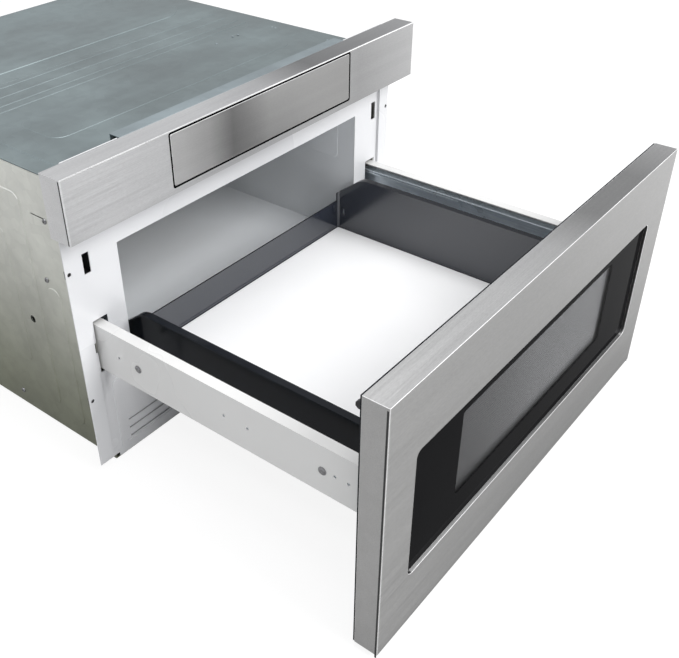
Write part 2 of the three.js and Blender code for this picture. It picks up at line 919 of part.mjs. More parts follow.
addMesh(body, "front_frame", frontFrame(), finishes.whitePaint);
addMesh(body, "cavity_wrapper", cavityWrapper(), finishes.cavityPaint);
addMesh(body, "cavity_ceiling", cavityCeiling(), finishes.cavityPaint);
addMesh(body, "cavity_back_wall", cavityBackWall(), finishes.cavityPaint);
addMesh(body, "base_pan", basePan(), finishes.galvanised);
addPair(body, "side_panel", sidePanel(), finishes.galvanised);
addMesh(body, "back_panel", backPanel(), finishes.galvanised);
addMesh(body, "cord_gland", cordGland(), finishes.blackPlastic);
addMesh(body, "top_cover_front", topCoverFront(), finishes.galvanised);
addMesh(body, "top_cover_rear", topCoverRear(), finishes.galvanised);
addMesh(body, "panel_top_bracket", topBracket(), finishes.galvanised);

// ---------------------------------------------------------------- control panel

const flapOpeningTop = overallHeight - sheet;
const flapOpeningBottom = flapOpeningTop - flapOpeningHeight;
const flapOpeningHalf = flapOpeningWidth / 2;
const flapHalf = flapOpeningHalf - flapGap;
const flapTop = flapOpeningTop - flapGap;
const flapBottom = flapOpeningBottom + flapGap;
const flapAxisZ = flapBottom + flapPinRise;

function panelTrim() {
  const outer = block([-panelHalf, panelHalf], [0, panelDepth], [panelBottom, overallHeight]);
  const inner = block(
    [-panelHalf + sheet, panelHalf - sheet],
    [sheet, panelDepth + 1],
    [panelBottom + sheet, overallHeight - sheet],
  );
  const opening = prism(
    "y",
    roundedRect(
      [-flapOpeningHalf, flapOpeningHalf],
      [flapOpeningBottom, flapOpeningTop],
      flapCorner,
    ),
    [-1, sheet + 1],
    4,
  );
  return cut(outer, inner, opening);
}

function controlHousing() {
  const front = sheet + seat;
  const back = frameFace - seat;
  const innerHalf = flapHalf + housingClearance;
  const outerHalf = innerHalf + housingWall + flapPinLength;
  const low = flapOpeningBottom - flapGap - housingWall;
  const high = overallHeight - sheet - seat;
  const outer = block([-outerHalf, outerHalf], [front, back], [low, high]);
  const hollow = block([-innerHalf, innerHalf], [0, back - housingWall], [low + housingWall, high + 1]);
  const pinHole = rod(
    "x",
    [flapPinInset, flapAxisZ],
    flapPinRadius + seat,
    [-outerHalf - 1, outerHalf + 1],
    16,
  );
  const postSpan = [back - housingWall - boardStandoff, back - housingWall / 2];
  const posts = housingPosts.flatMap((x) =>
    [low + housingPostInset, high - housingPostInset].map((z) =>
      rod("y", [x, z], housingPostRadius, postSpan, 12),
    ),
  );
  return join(cut(outer, hollow, pinHole), ...posts);
}

function controlBoard() {
  const back = frameFace - seat - housingWall - boardStandoff - seat;
  const front = back - boardThickness;
  const half = flapHalf - boardInset;
  const low = flapOpeningBottom + boardRise;
  const plate = block([-half, half], [front, back], [low, flapTop - boardTopGap]);
  const chips = chipPlaces.map((x) =>
    block(
      [x, x + chipWidth],
      [front - chipDepth, back - boardThickness / 2],
      [low + chipRise, low + chipRise + chipHeight],
    ),
  );
  return join(plate, ...chips);
}

addMesh(body, "control_panel_trim", panelTrim(), finishes.stainless);
addMesh(body, "control_housing", controlHousing(), finishes.blackPlastic);
addMesh(body, "control_board", controlBoard(), finishes.board);

function flapOutline(inset) {
  return roundedRect(
    [-flapHalf + inset, flapHalf - inset],
    [flapBottom + inset, flapTop - inset],
    flapCorner - 1,
  );
}

function flapFace() {
  return prism("y", flapOutline(0), [0, flapPlate], 4);
}

// A block behind the steel face, with a hinge pin at each end.
function flapCarrier() {
  const backing = prism("y", flapOutline(0), [flapPlate + seat, flapDepth], 4);
  const reach = flapHalf + housingClearance + flapPinLength;
  const pins = rod("x", [flapPinInset, flapAxisZ], flapPinRadius, [-reach, reach], 12);
  return join(backing, pins);
}

function touchGlass() {
  const front = flapDepth + seat;
  return prism("y", flapOutline(touchGlassMargin), [front, front + touchGlassThickness], 3);
}

addMesh(flap, "control_flap", flapFace(), finishes.stainless);
addMesh(flap, "flap_carrier", flapCarrier(), finishes.blackPlastic);
addMesh(flap, "touch_control_glass", touchGlass(), finishes.blackGlass);

// ---------------------------------------------------------------- rails in the casing

// A slide member: web at `web` and flanges reaching towards `mouth`, each with a lip at its end.
function slideProfile(web, mouth, half, thickness, lip) {
  const side = Math.sign(mouth - web);
  const inner = web + side * thickness;
  const z = slideCentre;
  return outline([
    [web, z - half],
    [mouth, z - half],
    [mouth, z - half + thickness + lip],
    [mouth - side * thickness, z - half + thickness + lip],
    [mouth - side * (thickness + lip), z - half + thickness],
    [inner, z - half + thickness],
    [inner, z + half - thickness],
    [mouth - side * (thickness + lip), z + half - thickness],
    [mouth - side * thickness, z + half - thickness - lip],
    [mouth, z + half - thickness - lip],
    [mouth, z + half],
    [web, z + half],
  ]);
}

const drawerMemberWeb = channelWallInner - seat;
const drawerMemberMouth = drawerMemberWeb - slideReach;
const drawerMemberHalf = slideHeight / 2;
const midMemberWeb = drawerMemberWeb - slideSheet - running;
const midMemberMouth = drawerMemberMouth + running;
const midMemberHalf = drawerMemberHalf - slideSheet - running - slideNest;
const cabinetMemberWeb = drawerMemberMouth - running;
const cabinetMemberMouth = midMemberWeb - slideSheet - running;
const cabinetMemberHalf = midMemberHalf - slideSheet - running - slideNest;

function slideMember(web, mouth, half, lip, [from, to]) {
  return prism("y", slideProfile(web, mouth, half, slideSheet, lip), [from, to]);
}

function railBracket() {
  const face = cabinetMemberWeb - seat;
  const plate = face - railBracketSheet;
  const low = baseTop + seat;
  const span = [railBracketFront, slideStart + slideLength];
  const top = slideCentre + cabinetMemberHalf;
  const hand = join(
    block([plate, face], span, [low, top]),
    block([plate - railBracketFoot, face], span, [low, low + railBracketSheet]),
  );
  const windowHigh = slideCentre - cabinetMemberHalf - railWindowTopGap;
  const openings = railWindows.map((y) => {
    const shape = roundedRect(
      [y - railWindowLength / 2, y + railWindowLength / 2],
      [low + railWindowRise, windowHigh],
      railWindowCorner,
    );
    return prism("x", shape, [plate - 1, face + 1], 3);
  });
  return cut(hand, ...openings);
}

addPair(body, "rail_bracket", railBracket(), finishes.galvanised);
addPair(
  body,
  "cabinet_slide_member",
  slideMember(cabinetMemberWeb, cabinetMemberMouth, cabinetMemberHalf, 0, [
    slideStart,
    slideStart + slideLength,
  ]),
  finishes.zinc,
);
addPair(
  midSlides,
  "intermediate_slide_member",
  slideMember(midMemberWeb, midMemberMouth, midMemberHalf, midMemberLip, [
    slideStart,
    slideStart + slideLength,
  ]),
  finishes.zinc,
);

// ---------------------------------------------------------------- latch receivers

// A box behind the latch slot, open towards the slot and the side panel, with the switch terminals
// on its inner side.
function latchReceiver() {
  const low = latchSlotTop - latchSlotHeight - seat - receiverWall;
  const high = latchSlotTop + seat + receiverWall;
  const inner = latchSlotInner - seat;
  const outer = sideInner - seat;
  const span = [wallFront, wallFront + receiverDepth];
  const switchInner = inner - switchWidth;
  const shell = block([switchInner, outer], span, [low, high]);
  const room = block(
    [inner, outer + 1],
    [0, span[1] - receiverWall],
    [low + receiverWall, high - receiverWall],
  );
  const terminals = [];
  for (let row = 0; row < terminalCount; row++) {
    const y = span[0] + terminalStart + row * terminalPitch;
    terminals.push(
      block(
        [switchInner - terminalLength, switchInner + 1],
        [y, y + terminalThickness],
        [low + terminalLength, low + 2 * terminalLength],
      ),
    );
  }
  return join(cut(shell, room), ...terminals);
}

addPair(body, "latch_receiver", latchReceiver(), finishes.blackPlastic);

// ---------------------------------------------------------------- drive

const pinionPitchRadius = (gearModule * pinionTeeth) / 2;
const pinionX = rackPitchX - pinionPitchRadius;
const gearPitch = Math.PI * gearModule;
const pressureAngle = (20 * Math.PI) / 180;
const rackAddendum = 0.9 * gearModule;
const gearDedendum = 1.25 * gearModule;
const gearLow = channelBottom + sheet + gearRise;
const gearHigh = gearLow + gearThickness;
const toothThickness = (gearPitch - gearBacklash) / 2;

// Rack teeth point towards the pinion. A tooth is centred on the pinion's y at rest,
// where the pinion has a gap.
function driveRack() {
  const tipX = rackPitchX - rackAddendum;
  const rootX = rackPitchX + gearDedendum;
  const backX = channelWallInner - seat;
  const slope = Math.tan(pressureAngle);
  const tipHalf = toothThickness / 2 - rackAddendum * slope;
  const rootHalf = toothThickness / 2 + gearDedendum * slope;
  const restY = pinionY + drawerTravel; // the pinion's place in the drawer's own frame
  const teethBehind = 2;
  const teethAhead = Math.ceil(drawerTravel / gearPitch) + 2;
  const points = [];
  for (let tooth = -teethAhead; tooth <= teethBehind; tooth++) {
    const y = restY + tooth * gearPitch;
    points.push([rootX, y - rootHalf], [tipX, y - tipHalf], [tipX, y + tipHalf], [rootX, y + rootHalf]);
  }
  const first = restY - teethAhead * gearPitch - gearPitch / 2;
  const last = restY + teethBehind * gearPitch + gearPitch / 2;
  points.push([rootX, last], [backX, last], [backX, first], [rootX, first]);
  return prism("z", outline(points.reverse()), [gearLow, gearHigh]);
}

// Half the angle that an involute tooth spans at radius r.
function toothHalfAngle(r) {
  const base = pinionPitchRadius * Math.cos(pressureAngle);
  const involute = (angle) => Math.tan(angle) - angle;
  const atPitch = toothThickness / (2 * pinionPitchRadius);
  const angleAt = Math.acos(Math.min(1, base / Math.max(r, base)));
  return atPitch + involute(pressureAngle) - involute(angleAt);
}

function drivePinion() {
  const tip = pinionPitchRadius + rackAddendum;
  const root = pinionPitchRadius - gearDedendum;
  const radii = [root, pinionPitchRadius - 0.6, pinionPitchRadius, pinionPitchRadius + 0.7, tip];
  const points = [];
  for (let tooth = 0; tooth < pinionTeeth; tooth++) {
    const centre = ((tooth + 0.5) * 2 * Math.PI) / pinionTeeth;
    const rising = radii.map((r) => [r, centre - toothHalfAngle(r)]);
    const falling = [...radii].reverse().map((r) => [r, centre + toothHalfAngle(r)]);
    for (const [r, angle] of [...rising, ...falling]) {
      points.push([pinionX + r * Math.cos(angle), pinionY + r * Math.sin(angle)]);
    }
  }
  const axis = [pinionX, pinionY];
  return join(
    prism("z", outline(points), [gearLow, gearHigh]),
    rod("z", axis, pinionHubRadius, [gearLow - pinionHubDrop, gearHigh], 20),
    rod("z", axis, pinionShaftRadius, [gearLow - pinionShaftReach, gearHigh], 16),
  );
}

const gearboxTop = channelBottom - gearboxGap;
const gearboxLow = gearboxTop - gearboxHeight;

function driveMotor() {
  const axis = [pinionX, pinionY];
  const motorLow = gearboxLow - motorHeight;
  const whole = join(
    rod("z", axis, gearboxRadius, [gearboxLow, gearboxTop], 24),
    rod("z", axis, motorRadius, [motorLow, gearboxLow], 20),
    rod("z", axis, motorEndRadius, [motorLow - motorEndLength, gearboxLow], 12),
  );
  const boreSpan = [gearboxTop - gearboxBore, gearboxTop + 1];
  return cut(whole, rod("z", axis, pinionShaftRadius + seat, boreSpan, 16));
}

function motorBracket() {
  const high = gearboxLow - seat;
  const low = high - motorBracketSheet;
  const legX = cavityHalf + sheet + motorLegGap;
  const floor = baseTop + seat;
  const depth = [pinionY - gearboxRadius, pinionY + gearboxRadius];
  const shelf = cut(
    block([legX, pinionX + gearboxRadius], depth, [low, high]),
    rod("z", [pinionX, pinionY], motorRadius + seat, [low - 1, high + 1], 20),
  );
  const leg = block([legX, legX + motorBracketSheet], depth, [floor, high]);
  const foot = block(
    [legX - motorFoot, legX + motorBracketSheet],
    depth,
    [floor, floor + motorBracketSheet],
  );
  return join(shelf, leg, foot);
}

addMesh(body, "drive_motor", driveMotor(), finishes.steel);
addMesh(body, "drive_motor_bracket", motorBracket(), finishes.galvanised);
addMesh(body, "drive_pinion", drivePinion(), finishes.nylon);

// ---------------------------------------------------------------- microwave source

const antennaX = waveguideLeft + waveguideWidth / 2;
const antennaY = casingBack - antennaBackGap;
const waveguideLow = domeTop + seat;

function waveguide() {
  const span = [waveguideFront, casingBack - waveguideBackGap];
  const high = waveguideLow + waveguideHeight;
  const right = waveguideLeft + waveguideWidth;
  const outer = block([waveguideLeft, right], span, [waveguideLow, high]);
  const inner = block(
    [waveguideLeft + sheet, right - sheet],
    [span[0] + sheet, span[1] - sheet],
    [waveguideLow + sheet, high - sheet],
  );
  const antennaHole = rod(
    "z",
    [antennaX, antennaY],
    antennaRadius + antennaHoleGap,
    [waveguideLow - 1, waveguideLow + sheet + 1],
    16,
  );
  return cut(outer, inner, waveguidePort(), antennaHole);
}

function magnetron() {
  const axis = [antennaX, antennaY];
  const top = waveguideLow - seat;
  const low = top - magnetronHeight;
  const filterTop = low + filterBoxHeight;
  const yokeLow = filterTop - magnetronBand / 2;
  const half = magnetronWidth / 2;
  const around = (width, depth, span) =>
    block(
      [antennaX - width / 2, antennaX + width / 2],
      [antennaY - depth / 2, antennaY + depth / 2],
      span,
    );
  const yoke = around(magnetronWidth, magnetronDepth, [yokeLow, top]);
  const yokeRoom = block(
    [antennaX - half + magnetronBand, antennaX + half - magnetronBand],
    [antennaY - magnetronDepth, antennaY + magnetronDepth],
    [yokeLow + magnetronBand, top - magnetronBand],
  );
  const anode = rod("z", axis, anodeRadius, [filterTop, top - 1], 20);
  const firstFin = yokeLow + magnetronBand + finMargin;
  const lastFin = top - magnetronBand - finMargin - finThickness;
  const finPitch = (lastFin - firstFin) / (finCount - 1);
  const fins = [];
  for (let fin = 0; fin < finCount; fin++) {
    const z = firstFin + fin * finPitch;
    fins.push(around(magnetronWidth - magnetronBand, finDepth, [z, z + finThickness]));
  }
  const filterBox = around(filterBoxWidth, filterBoxDepth, [low, filterTop]);
  const antenna = rod("z", axis, antennaRadius, [top - 1, top + antennaReach], 16);
  const socketFrom = antennaX + filterBoxWidth / 2;
  const socket = block(
    [socketFrom - 1, socketFrom + socketReach],
    [antennaY - socketWidth / 2, antennaY + socketWidth / 2],
    [low + socketRise, low + socketRise + socketHeight],
  );
  return join(cut(yoke, yokeRoom), anode, ...fins, filterBox, antenna, socket);
}

// Paddles of unequal length on a hub, as mode stirrers have.
function stirrer() {
  const low = cavityTop + stirrerRise;
  const paddleZ = low + paddleRise;
  const hub = rod("z", [0, 0], stirrerHubRadius, [low, paddleZ + 4 * paddleThickness], 16);
  const shaft = rod("z", [0, 0], stirrerShaftRadius, [low, domeTop + stirrerShaftReach], 12);
  const paddles = [];
  for (let arm = 0; arm < paddleCount; arm++) {
    const reach = stirrerRadius - arm * paddleStep;
    const shape = outline([
      [stirrerShaftRadius - 1, -paddleRootHalf],
      [reach - paddleTipHalf, -paddleEndHalf],
      [reach, -paddleTipHalf],
      [reach, paddleTipHalf],
      [reach - paddleTipHalf, paddleEndHalf],
      [stirrerShaftRadius - 1, paddleRootHalf],
    ]);
    const paddle = prism("z", shape, [paddleZ, paddleZ + paddleThickness]);
    paddles.push(paddle.rotate([0, 0, (arm * 360) / paddleCount]));
  }
  return join(hub, shaft, ...paddles).translate([stirrerX, domeCentreY, 0]);
}

function stirrerMotor() {
  const low = domeTop + seat;
  const axis = [stirrerX, domeCentreY];
  const lugHalf = stirrerMotorRadius + stirrerLugReach;
  const can = rod("z", axis, stirrerMotorRadius, [low, low + stirrerMotorHeight], 24);
  const lugs = block(
    [stirrerX - lugHalf, stirrerX + lugHalf],
    [domeCentreY - stirrerLugHalf, domeCentreY + stirrerLugHalf],
    [low, low + stirrerLugThickness],
  );
  const bore = rod("z", axis, stirrerShaftRadius + seat, [low - 1, low + stirrerMotorBore], 16);
  return cut(join(can, lugs), bore);
}

function stirrerCover() {
  const shape = roundedRect(
    [-domeHalfX - stirrerCoverOverlap, domeHalfX + stirrerCoverOverlap],
    [
      domeCentreY - domeLength / 2 - stirrerCoverOverlap,
      domeCentreY + domeLength / 2 + stirrerCoverOverlap,
    ],
    8,
  );
  const high = cavityTop - seat;
  return prism("z", shape, [high - stirrerCoverThickness, high], 3);
}

const transformerBack = casingBackInner - transformerBackGap;
const transformerFront = transformerBack - transformerWidth;
const transformerFloor = baseTop + seat;

function transformerCore() {
  const half = transformerLength / 2;
  const depth = [transformerFront + coilOverhang, transformerBack - coilOverhang];
  const high = transformerFloor + transformerHeight;
  const stack = block([transformerX - half, transformerX + half], depth, [transformerFloor, high]);
  const windows = [-1, 1].map((side) => {
    const inner = transformerX + side * transformerLeg;
    const outer = transformerX + side * (half - transformerLeg);
    return block(
      [Math.min(inner, outer), Math.max(inner, outer)],
      [transformerFront, transformerBack],
      [transformerFloor + transformerLeg, high - transformerLeg],
    );
  });
  const foot = block(
    [transformerX - half - coreFoot, transformerX + half + coreFoot],
    depth,
    [transformerFloor, transformerFloor + coreFootThickness],
  );
  return cut(join(stack, foot), ...windows);
}

function transformerCoil() {
  const outerHalf = transformerLength / 2 - transformerLeg - seat;
  const legHalf = transformerLeg + seat;
  const low = transformerFloor + transformerLeg + seat;
  const high = transformerFloor + transformerHeight - transformerLeg - seat;
  const outer = prism(
    "z",
    roundedRect(
      [transformerX - outerHalf, transformerX + outerHalf],
      [transformerFront, transformerBack],
      coilOverhang - 4,
    ),
    [low, high],
    4,
  );
  const legHole = block(
    [transformerX - legHalf, transformerX + legHalf],
    [transformerFront + coilOverhang - seat, transformerBack - coilOverhang + seat],
    [low - 1, high + 1],
  );
  return cut(outer, legHole);
}

function capacitor() {
  const shape = levelSlot(
    [capacitorX - capacitorLength / 2, capacitorX + capacitorLength / 2],
    [transformerBack - capacitorWidth, transformerBack],
  );
  const middle = transformerBack - capacitorWidth / 2;
  const high = transformerFloor + capacitorHeight;
  const can = prism("z", shape, [transformerFloor, high], 8);
  const tabs = capacitorTabs.map((x) =>
    block(
      [capacitorX + x - capacitorTabWidth / 2, capacitorX + x + capacitorTabWidth / 2],
      [middle - capacitorTabThickness / 2, middle + capacitorTabThickness / 2],
      [high - 1, high + capacitorTabHeight],
    ),
  );
  return join(can, ...tabs);
}

addMesh(body, "waveguide", waveguide(), finishes.aluminium);
addMesh(body, "magnetron", magnetron(), finishes.aluminium);
addMesh(body, "stirrer", stirrer(), finishes.aluminium);
addMesh(body, "stirrer_motor", stirrerMotor(), finishes.steel);
addMesh(body, "stirrer_cover", stirrerCover(), finishes.mica);
addMesh(body, "transformer_core", transformerCore(), finishes.laminations);
addMesh(body, "transformer_coil", transformerCoil(), finishes.copper);
addMesh(body, "high_voltage_capacitor", capacitor(), finishes.aluminium);

// ---------------------------------------------------------------- cooling fan

const fanBack = casingBackInner - seat;
const fanFront = fanBack - fanDepth;
const fanBore = fanSize / 2 - fanRingWall;

function fanFrame() {
  const axis = [fanX, fanZ];
  const half = fanSize / 2;
  const motorRadiusOut = fanHubRadius - 2;
  const motorBack = fanFront + fanMotorDepth;
  const outer = prism(
    "y",
    roundedRect([fanX - half, fanX + half], [fanZ - half, fanZ + half], fanCorner),
    [fanFront, fanBack],
    3,
  );
  const bore = rod("y", axis, fanBore, [fanFront - 1, fanBack + 1], 32);
  const motor = rod("y", axis, motorRadiusOut, [fanFront, motorBack], 20);
  const strutFrom = motorRadiusOut / 2;
  const strutTo = fanBore + 1;
  const struts = [0, 1, 2].map((arm) => {
    const strut = new THREE.BoxGeometry(strutTo - strutFrom, fanStrutDepth, fanStrutHeight);
    strut.translate((strutTo + strutFrom) / 2, fanFront + 1 + fanStrutDepth / 2, 0);
    strut.rotateY((arm * 2 * Math.PI) / 3);
    strut.translate(fanX, 0, fanZ);
    return solid(strut);
  });
  const axleBore = rod("y", axis, fanAxleRadius + seat, [fanFront + 2, motorBack + 1], 12);
  return cut(join(cut(outer, bore), motor, ...struts), axleBore);
}

// The section of a blade, a thin cambered strip, across the fan's axis.
function bladeSection() {
  const section = new THREE.Shape();
  section.moveTo(-17, -8.5);
  section.quadraticCurveTo(-3, -3.5, 15, 8.5);
  section.lineTo(14.2, 9.6);
  section.quadraticCurveTo(-4, -1.9, -17.2, -7.2);
  return section;
}

function fanImpeller() {
  const hubFront = fanFront + fanMotorDepth + fanHubGap;
  const hubBack = fanBack - fanBackGap;
  const middle = (hubFront + hubBack) / 2;
  const tip = fanBore - fanTipGap;
  const root = fanHubRadius - 4;
  const hub = rod("y", [0, 0], fanHubRadius, [hubFront, hubBack], 24);
  const axle = rod("y", [0, 0], fanAxleRadius, [fanFront + 3, hubFront + 1], 12);
  const blades = [];
  for (let blade = 0; blade < fanBladeCount; blade++) {
    const options = { depth: tip + 1 - root, bevelEnabled: false, curveSegments: 4 };
    const strip = new THREE.ExtrudeGeometry(bladeSection(), options);
    strip.translate(0, 0, root);
    strip.rotateY((blade * 2 * Math.PI) / fanBladeCount);
    strip.translate(0, middle, 0);
    blades.push(solid(strip));
  }
  const sweep = rod("y", [0, 0], tip, [fanFront, fanBack], 40);
  return join(hub, axle, join(...blades).intersect(sweep)).translate([fanX, 0, fanZ]);
}

addMesh(body, "cooling_fan_frame", fanFrame(), finishes.blackPlastic);
addMesh(body, "cooling_fan_impeller", fanImpeller(), finishes.blackPlastic);

// ---------------------------------------------------------------- drawer front (y as with the drawer shut)

function windowShape(spread) {
  return roundedRect(
    [-windowHalf - spread, windowHalf + spread],
    [windowBottom - spread, windowTop + spread],
    windowCorner + spread,
  );
}

function drawerSkin() {
  const outer = block([-panelHalf, panelHalf], [0, drawerFrontDepth], [drawerBottom, drawerTop]);
  const inner = block(
    [-panelHalf + sheet, panelHalf - sheet],
    [sheet, drawerFrontDepth + 1],
    [drawerBottom + sheet, drawerTop - sheet],
  );
  const lip = prism("y", windowShape(sheet), [sheet / 2, sheet + windowLip], 5);
  const opening = prism("y", windowShape(0), [-1, drawerFrontDepth], 5);
  return cut(join(cut(outer, inner), lip), opening);
}

const glassFront = sheet + windowLip + seat;
const glassBack = glassFront + glassThickness;

function outerGlass() {
  return prism("y", windowShape(glassOverlap), [glassFront, glassBack], 4);
}

function viewRect(spread) {
  return roundedRect([-viewHalf - spread, viewHalf + spread], [viewBottom - spread, viewTop + spread], 4);
}

function viewScreen() {
  const front = glassBack + seat;
  return prism("y", viewRect(screenOverlap), [front, front + screenThickness], 2);
}

function drawerCore() {
  const half = panelHalf - sheet - seat;
  const plate = block(
    [-half, half],
    [glassBack + seat, drawerFrontDepth],
    [drawerBottom + sheet + seat, drawerTop - sheet - seat],
  );
  const seatBack = glassBack + screenThickness + 2 * seat;
  const screenSeat = prism("y", viewRect(screenOverlap + seat), [0, seatBack], 2);
  const view = prism("y", viewRect(0), [0, drawerFrontDepth + 1], 2);
  return cut(plate, screenSeat, view);
}

function innerPanel() {
  const half = panelHalf - innerPanelInset;
  const plate = block(
    [-half, half],
    [innerPanelFront, innerPanelBack],
    [drawerBottom + innerPanelInset, drawerTop - innerPanelInset],
  );
  return cut(plate, prism("y", viewRect(0), [0, innerPanelBack + 1], 2));
}

function innerGlass() {
  return prism("y", viewRect(innerGlassOverlap), [carriedFrom, carriedFrom + innerGlassThickness], 2);
}

const trayFront = carriedFrom;

function chokeCover() {
  const room = frameFace - lowerBeadHeight - frontSealGap - carriedFrom;
  const thickness = Math.min(chokeThickness, room);
  const shape = roundedRect(
    [-chokeHalf, chokeHalf],
    [cavityFloor - chokeBelowCavity, cavityTop + chokeAboveCavity],
    6,
  );
  const hole = roundedRect(
    [-trayHemHalf - 1, trayHemHalf + 1],
    [trayBottom - 1, cavityTop - chokeAboveCavity / 2],
    2,
  );
  shape.holes.push(hole);
  return prism("y", shape, [carriedFrom, carriedFrom + thickness], 3);
}

addMesh(drawer, "drawer_front_skin", drawerSkin(), finishes.stainless);
addMesh(drawer, "outer_window_glass", outerGlass(), finishes.blackGlass);
addMesh(drawer, "window_screen", viewScreen(), finishes.screen);
addMesh(drawer, "drawer_front_core", drawerCore(), finishes.blackPlastic);
addMesh(drawer, "drawer_inner_panel", innerPanel(), finishes.blackPlastic);
addMesh(drawer, "inner_window_glass", innerGlass(), finishes.blackGlass);
addMesh(drawer, "choke_cover", chokeCover(), finishes.blackPlastic);

// ---------------------------------------------------------------- tray

const trayFloorTop = trayBottom + trayFloorThickness;
const traySideTop = trayBottom + traySideHeight;
const trayBackTop = trayBottom + trayBackHeight;

// Side view of the tray's walls: level top, then a rounded shoulder that slopes down to a short
// upright step above the lower back wall.
function traySideOutline() {
  const shape = new THREE.Shape();
  const shoulderStart = trayBack - trayShoulderLength;
  const stepTop = trayBackTop + trayRearStep;
  shape.moveTo(trayFront, trayBottom);
  shape.lineTo(trayBack, trayBottom);
  shape.lineTo(trayBack, stepTop);
  shape.lineTo(trayBack - trayRearChamfer, stepTop + trayRearChamfer);
  shape.lineTo(shoulderStart + trayShoulderRadius, traySideTop - trayShoulderRadius / 2);
  shape.quadraticCurveTo(shoulderStart + trayShoulderRadius / 2, traySideTop, shoulderStart, traySideTop);
  shape.lineTo(trayFront, traySideTop);
  return shape;
}

function tray() {
  const whole = prism("x", traySideOutline(), [-trayHalf, trayHalf], 5);
  const wide = prism("x", traySideOutline(), [-trayHemHalf, trayHemHalf], 5);
  const underHem = wide.translate([0, 0, -trayHemThickness]);
  const hem = cut(wide, underHem);
  const hollow = prism(
    "z",
    roundedRect(
      [-trayHalf + trayWall, trayHalf - trayWall],
      [trayFront + trayWall, trayBack - trayWall],
      trayCorner,
    ),
    [trayFloorTop, overallHeight],
    4,
  );
  const aboveBack = block(
    [-trayHalf + trayWall + 3, trayHalf - trayWall - 3],
    [trayBack - trayWall - trayCorner - 1, trayBack + 1],
    [trayBackTop, overallHeight],
  );
  const aboveFront = block(
    [-trayHalf + trayWall, trayHalf - trayWall],
    [trayFront - 1, trayFront + trayWall + trayCorner + 1],
    [trayFloorTop + trayFrontLip, overallHeight],
  );
  const slotBack = trayBack - traySlotAhead;
  const slot = prism(
    "x",
    uprightSlot(
      [slotBack - traySlotWidth, slotBack],
      [trayBottom + traySlotLow, trayBottom + traySlotLow + traySlotHeight],
    ),
    [-trayHalf - 1, trayHalf + 1],
  );
  return cut(join(whole, hem), hollow, aboveBack, aboveFront, slot);
}

function ceramicBase() {
  const shape = (inset) =>
    roundedRect(
      [-trayHalf + trayWall + inset, trayHalf - trayWall - inset],
      [trayFront + trayWall + inset, trayBack - trayWall - inset],
      trayCorner - ceramicGap,
    );
  const low = trayFloorTop + seat;
  const high = low + ceramicThickness;
  const rim = prism("z", shape(ceramicGap), [low, high - ceramicRimDrop], 4);
  const plate = prism("z", shape(ceramicGap + ceramicRim), [low, high], 4);
  return join(rim, plate);
}

addMesh(drawer, "drawer_tray", tray(), finishes.blackGloss);
addMesh(drawer, "ceramic_base_plate", ceramicBase(), finishes.ceramic);

// ---------------------------------------------------------------- channels, slides and rack

const channelBack = channelRear + drawerTravel;

function drawerChannel() {
  const span = [carriedFrom, channelBack];
  const outer = block([channelInner, channelOuter], span, [channelBottom, channelTop]);
  const hollow = block(
    [channelInner - 1, channelWallInner],
    [span[0] + sheet, span[1] + 1],
    [channelBottom + sheet, channelTop - sheet],
  );
  const tabs = [channelTop - channelTabHeight, channelBottom].map((z) =>
    block(
      [channelInner - channelTabReach, channelInner + channelTabBury],
      [span[0], span[0] + sheet],
      [z, z + channelTabHeight],
    ),
  );
  const holes = channelHoles.map((y) =>
    rod(
      "x",
      [drawerTravel + y, slideCentre],
      channelHoleRadius,
      [channelWallInner - 1, channelOuter + 1],
      10,
    ),
  );
  return cut(join(cut(outer, hollow), ...tabs), ...holes);
}

const drawerMemberStart = carriedFrom + drawerMemberGap;

function latchHook() {
  const x0 = hookX - hookThickness / 2;
  const tip = carriedFrom + hookLength;
  const base = hookTop - hookHeight;
  const [rootLength, rootHeight] = hookRoot;
  const shape = outline([
    [carriedFrom, base - rootHeight],
    [carriedFrom + rootLength, base],
    [tip - hookNoseLength, base],
    [tip - hookNoseLength, base - hookNose],
    [tip - hookLeadIn, base - hookNose],
    [tip, base - 1],
    [tip, hookTop - hookLeadIn],
    [tip - hookLeadIn, hookTop],
    [carriedFrom, hookTop],
  ]);
  return prism("x", shape, [x0, x0 + hookThickness]);
}

addPair(drawer, "drawer_channel", drawerChannel(), finishes.whitePaint);
addPair(
  drawer,
  "drawer_slide_member",
  slideMember(drawerMemberWeb, drawerMemberMouth, drawerMemberHalf, 0, [
    drawerMemberStart,
    drawerMemberStart + slideLength,
  ]),
  finishes.zinc,
);
addPair(drawer, "latch_hook", latchHook(), finishes.blackPlastic);
addMesh(drawer, "drive_rack", driveRack(), finishes.nylon);

// ---------------------------------------------------------------- pose and origin

// The drawer is shown open; the intermediate slide members follow it at half its travel.
drawer.position.y = -drawerTravel;
midSlides.position.y = -drawerTravel / 2;

// The part's origin: middle of the whole length, drawer open, on the floor.
product.position.y = (drawerTravel - casingBack - glandTail) / 2;

export default product;
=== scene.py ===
"""Looks for a built-in microwave drawer, shown with the drawer open.

The scene is in metres, in the CAD's frame: +X to the right seen from the front, +Y to the back,
+Z up. The object's sizes and places are written in mm, with y counted from the face of the
control panel. Room, lamps and noise are written in metres.
"""

import json
import math

import bmesh
import bpy
from mathutils import Euler, Matrix, Vector

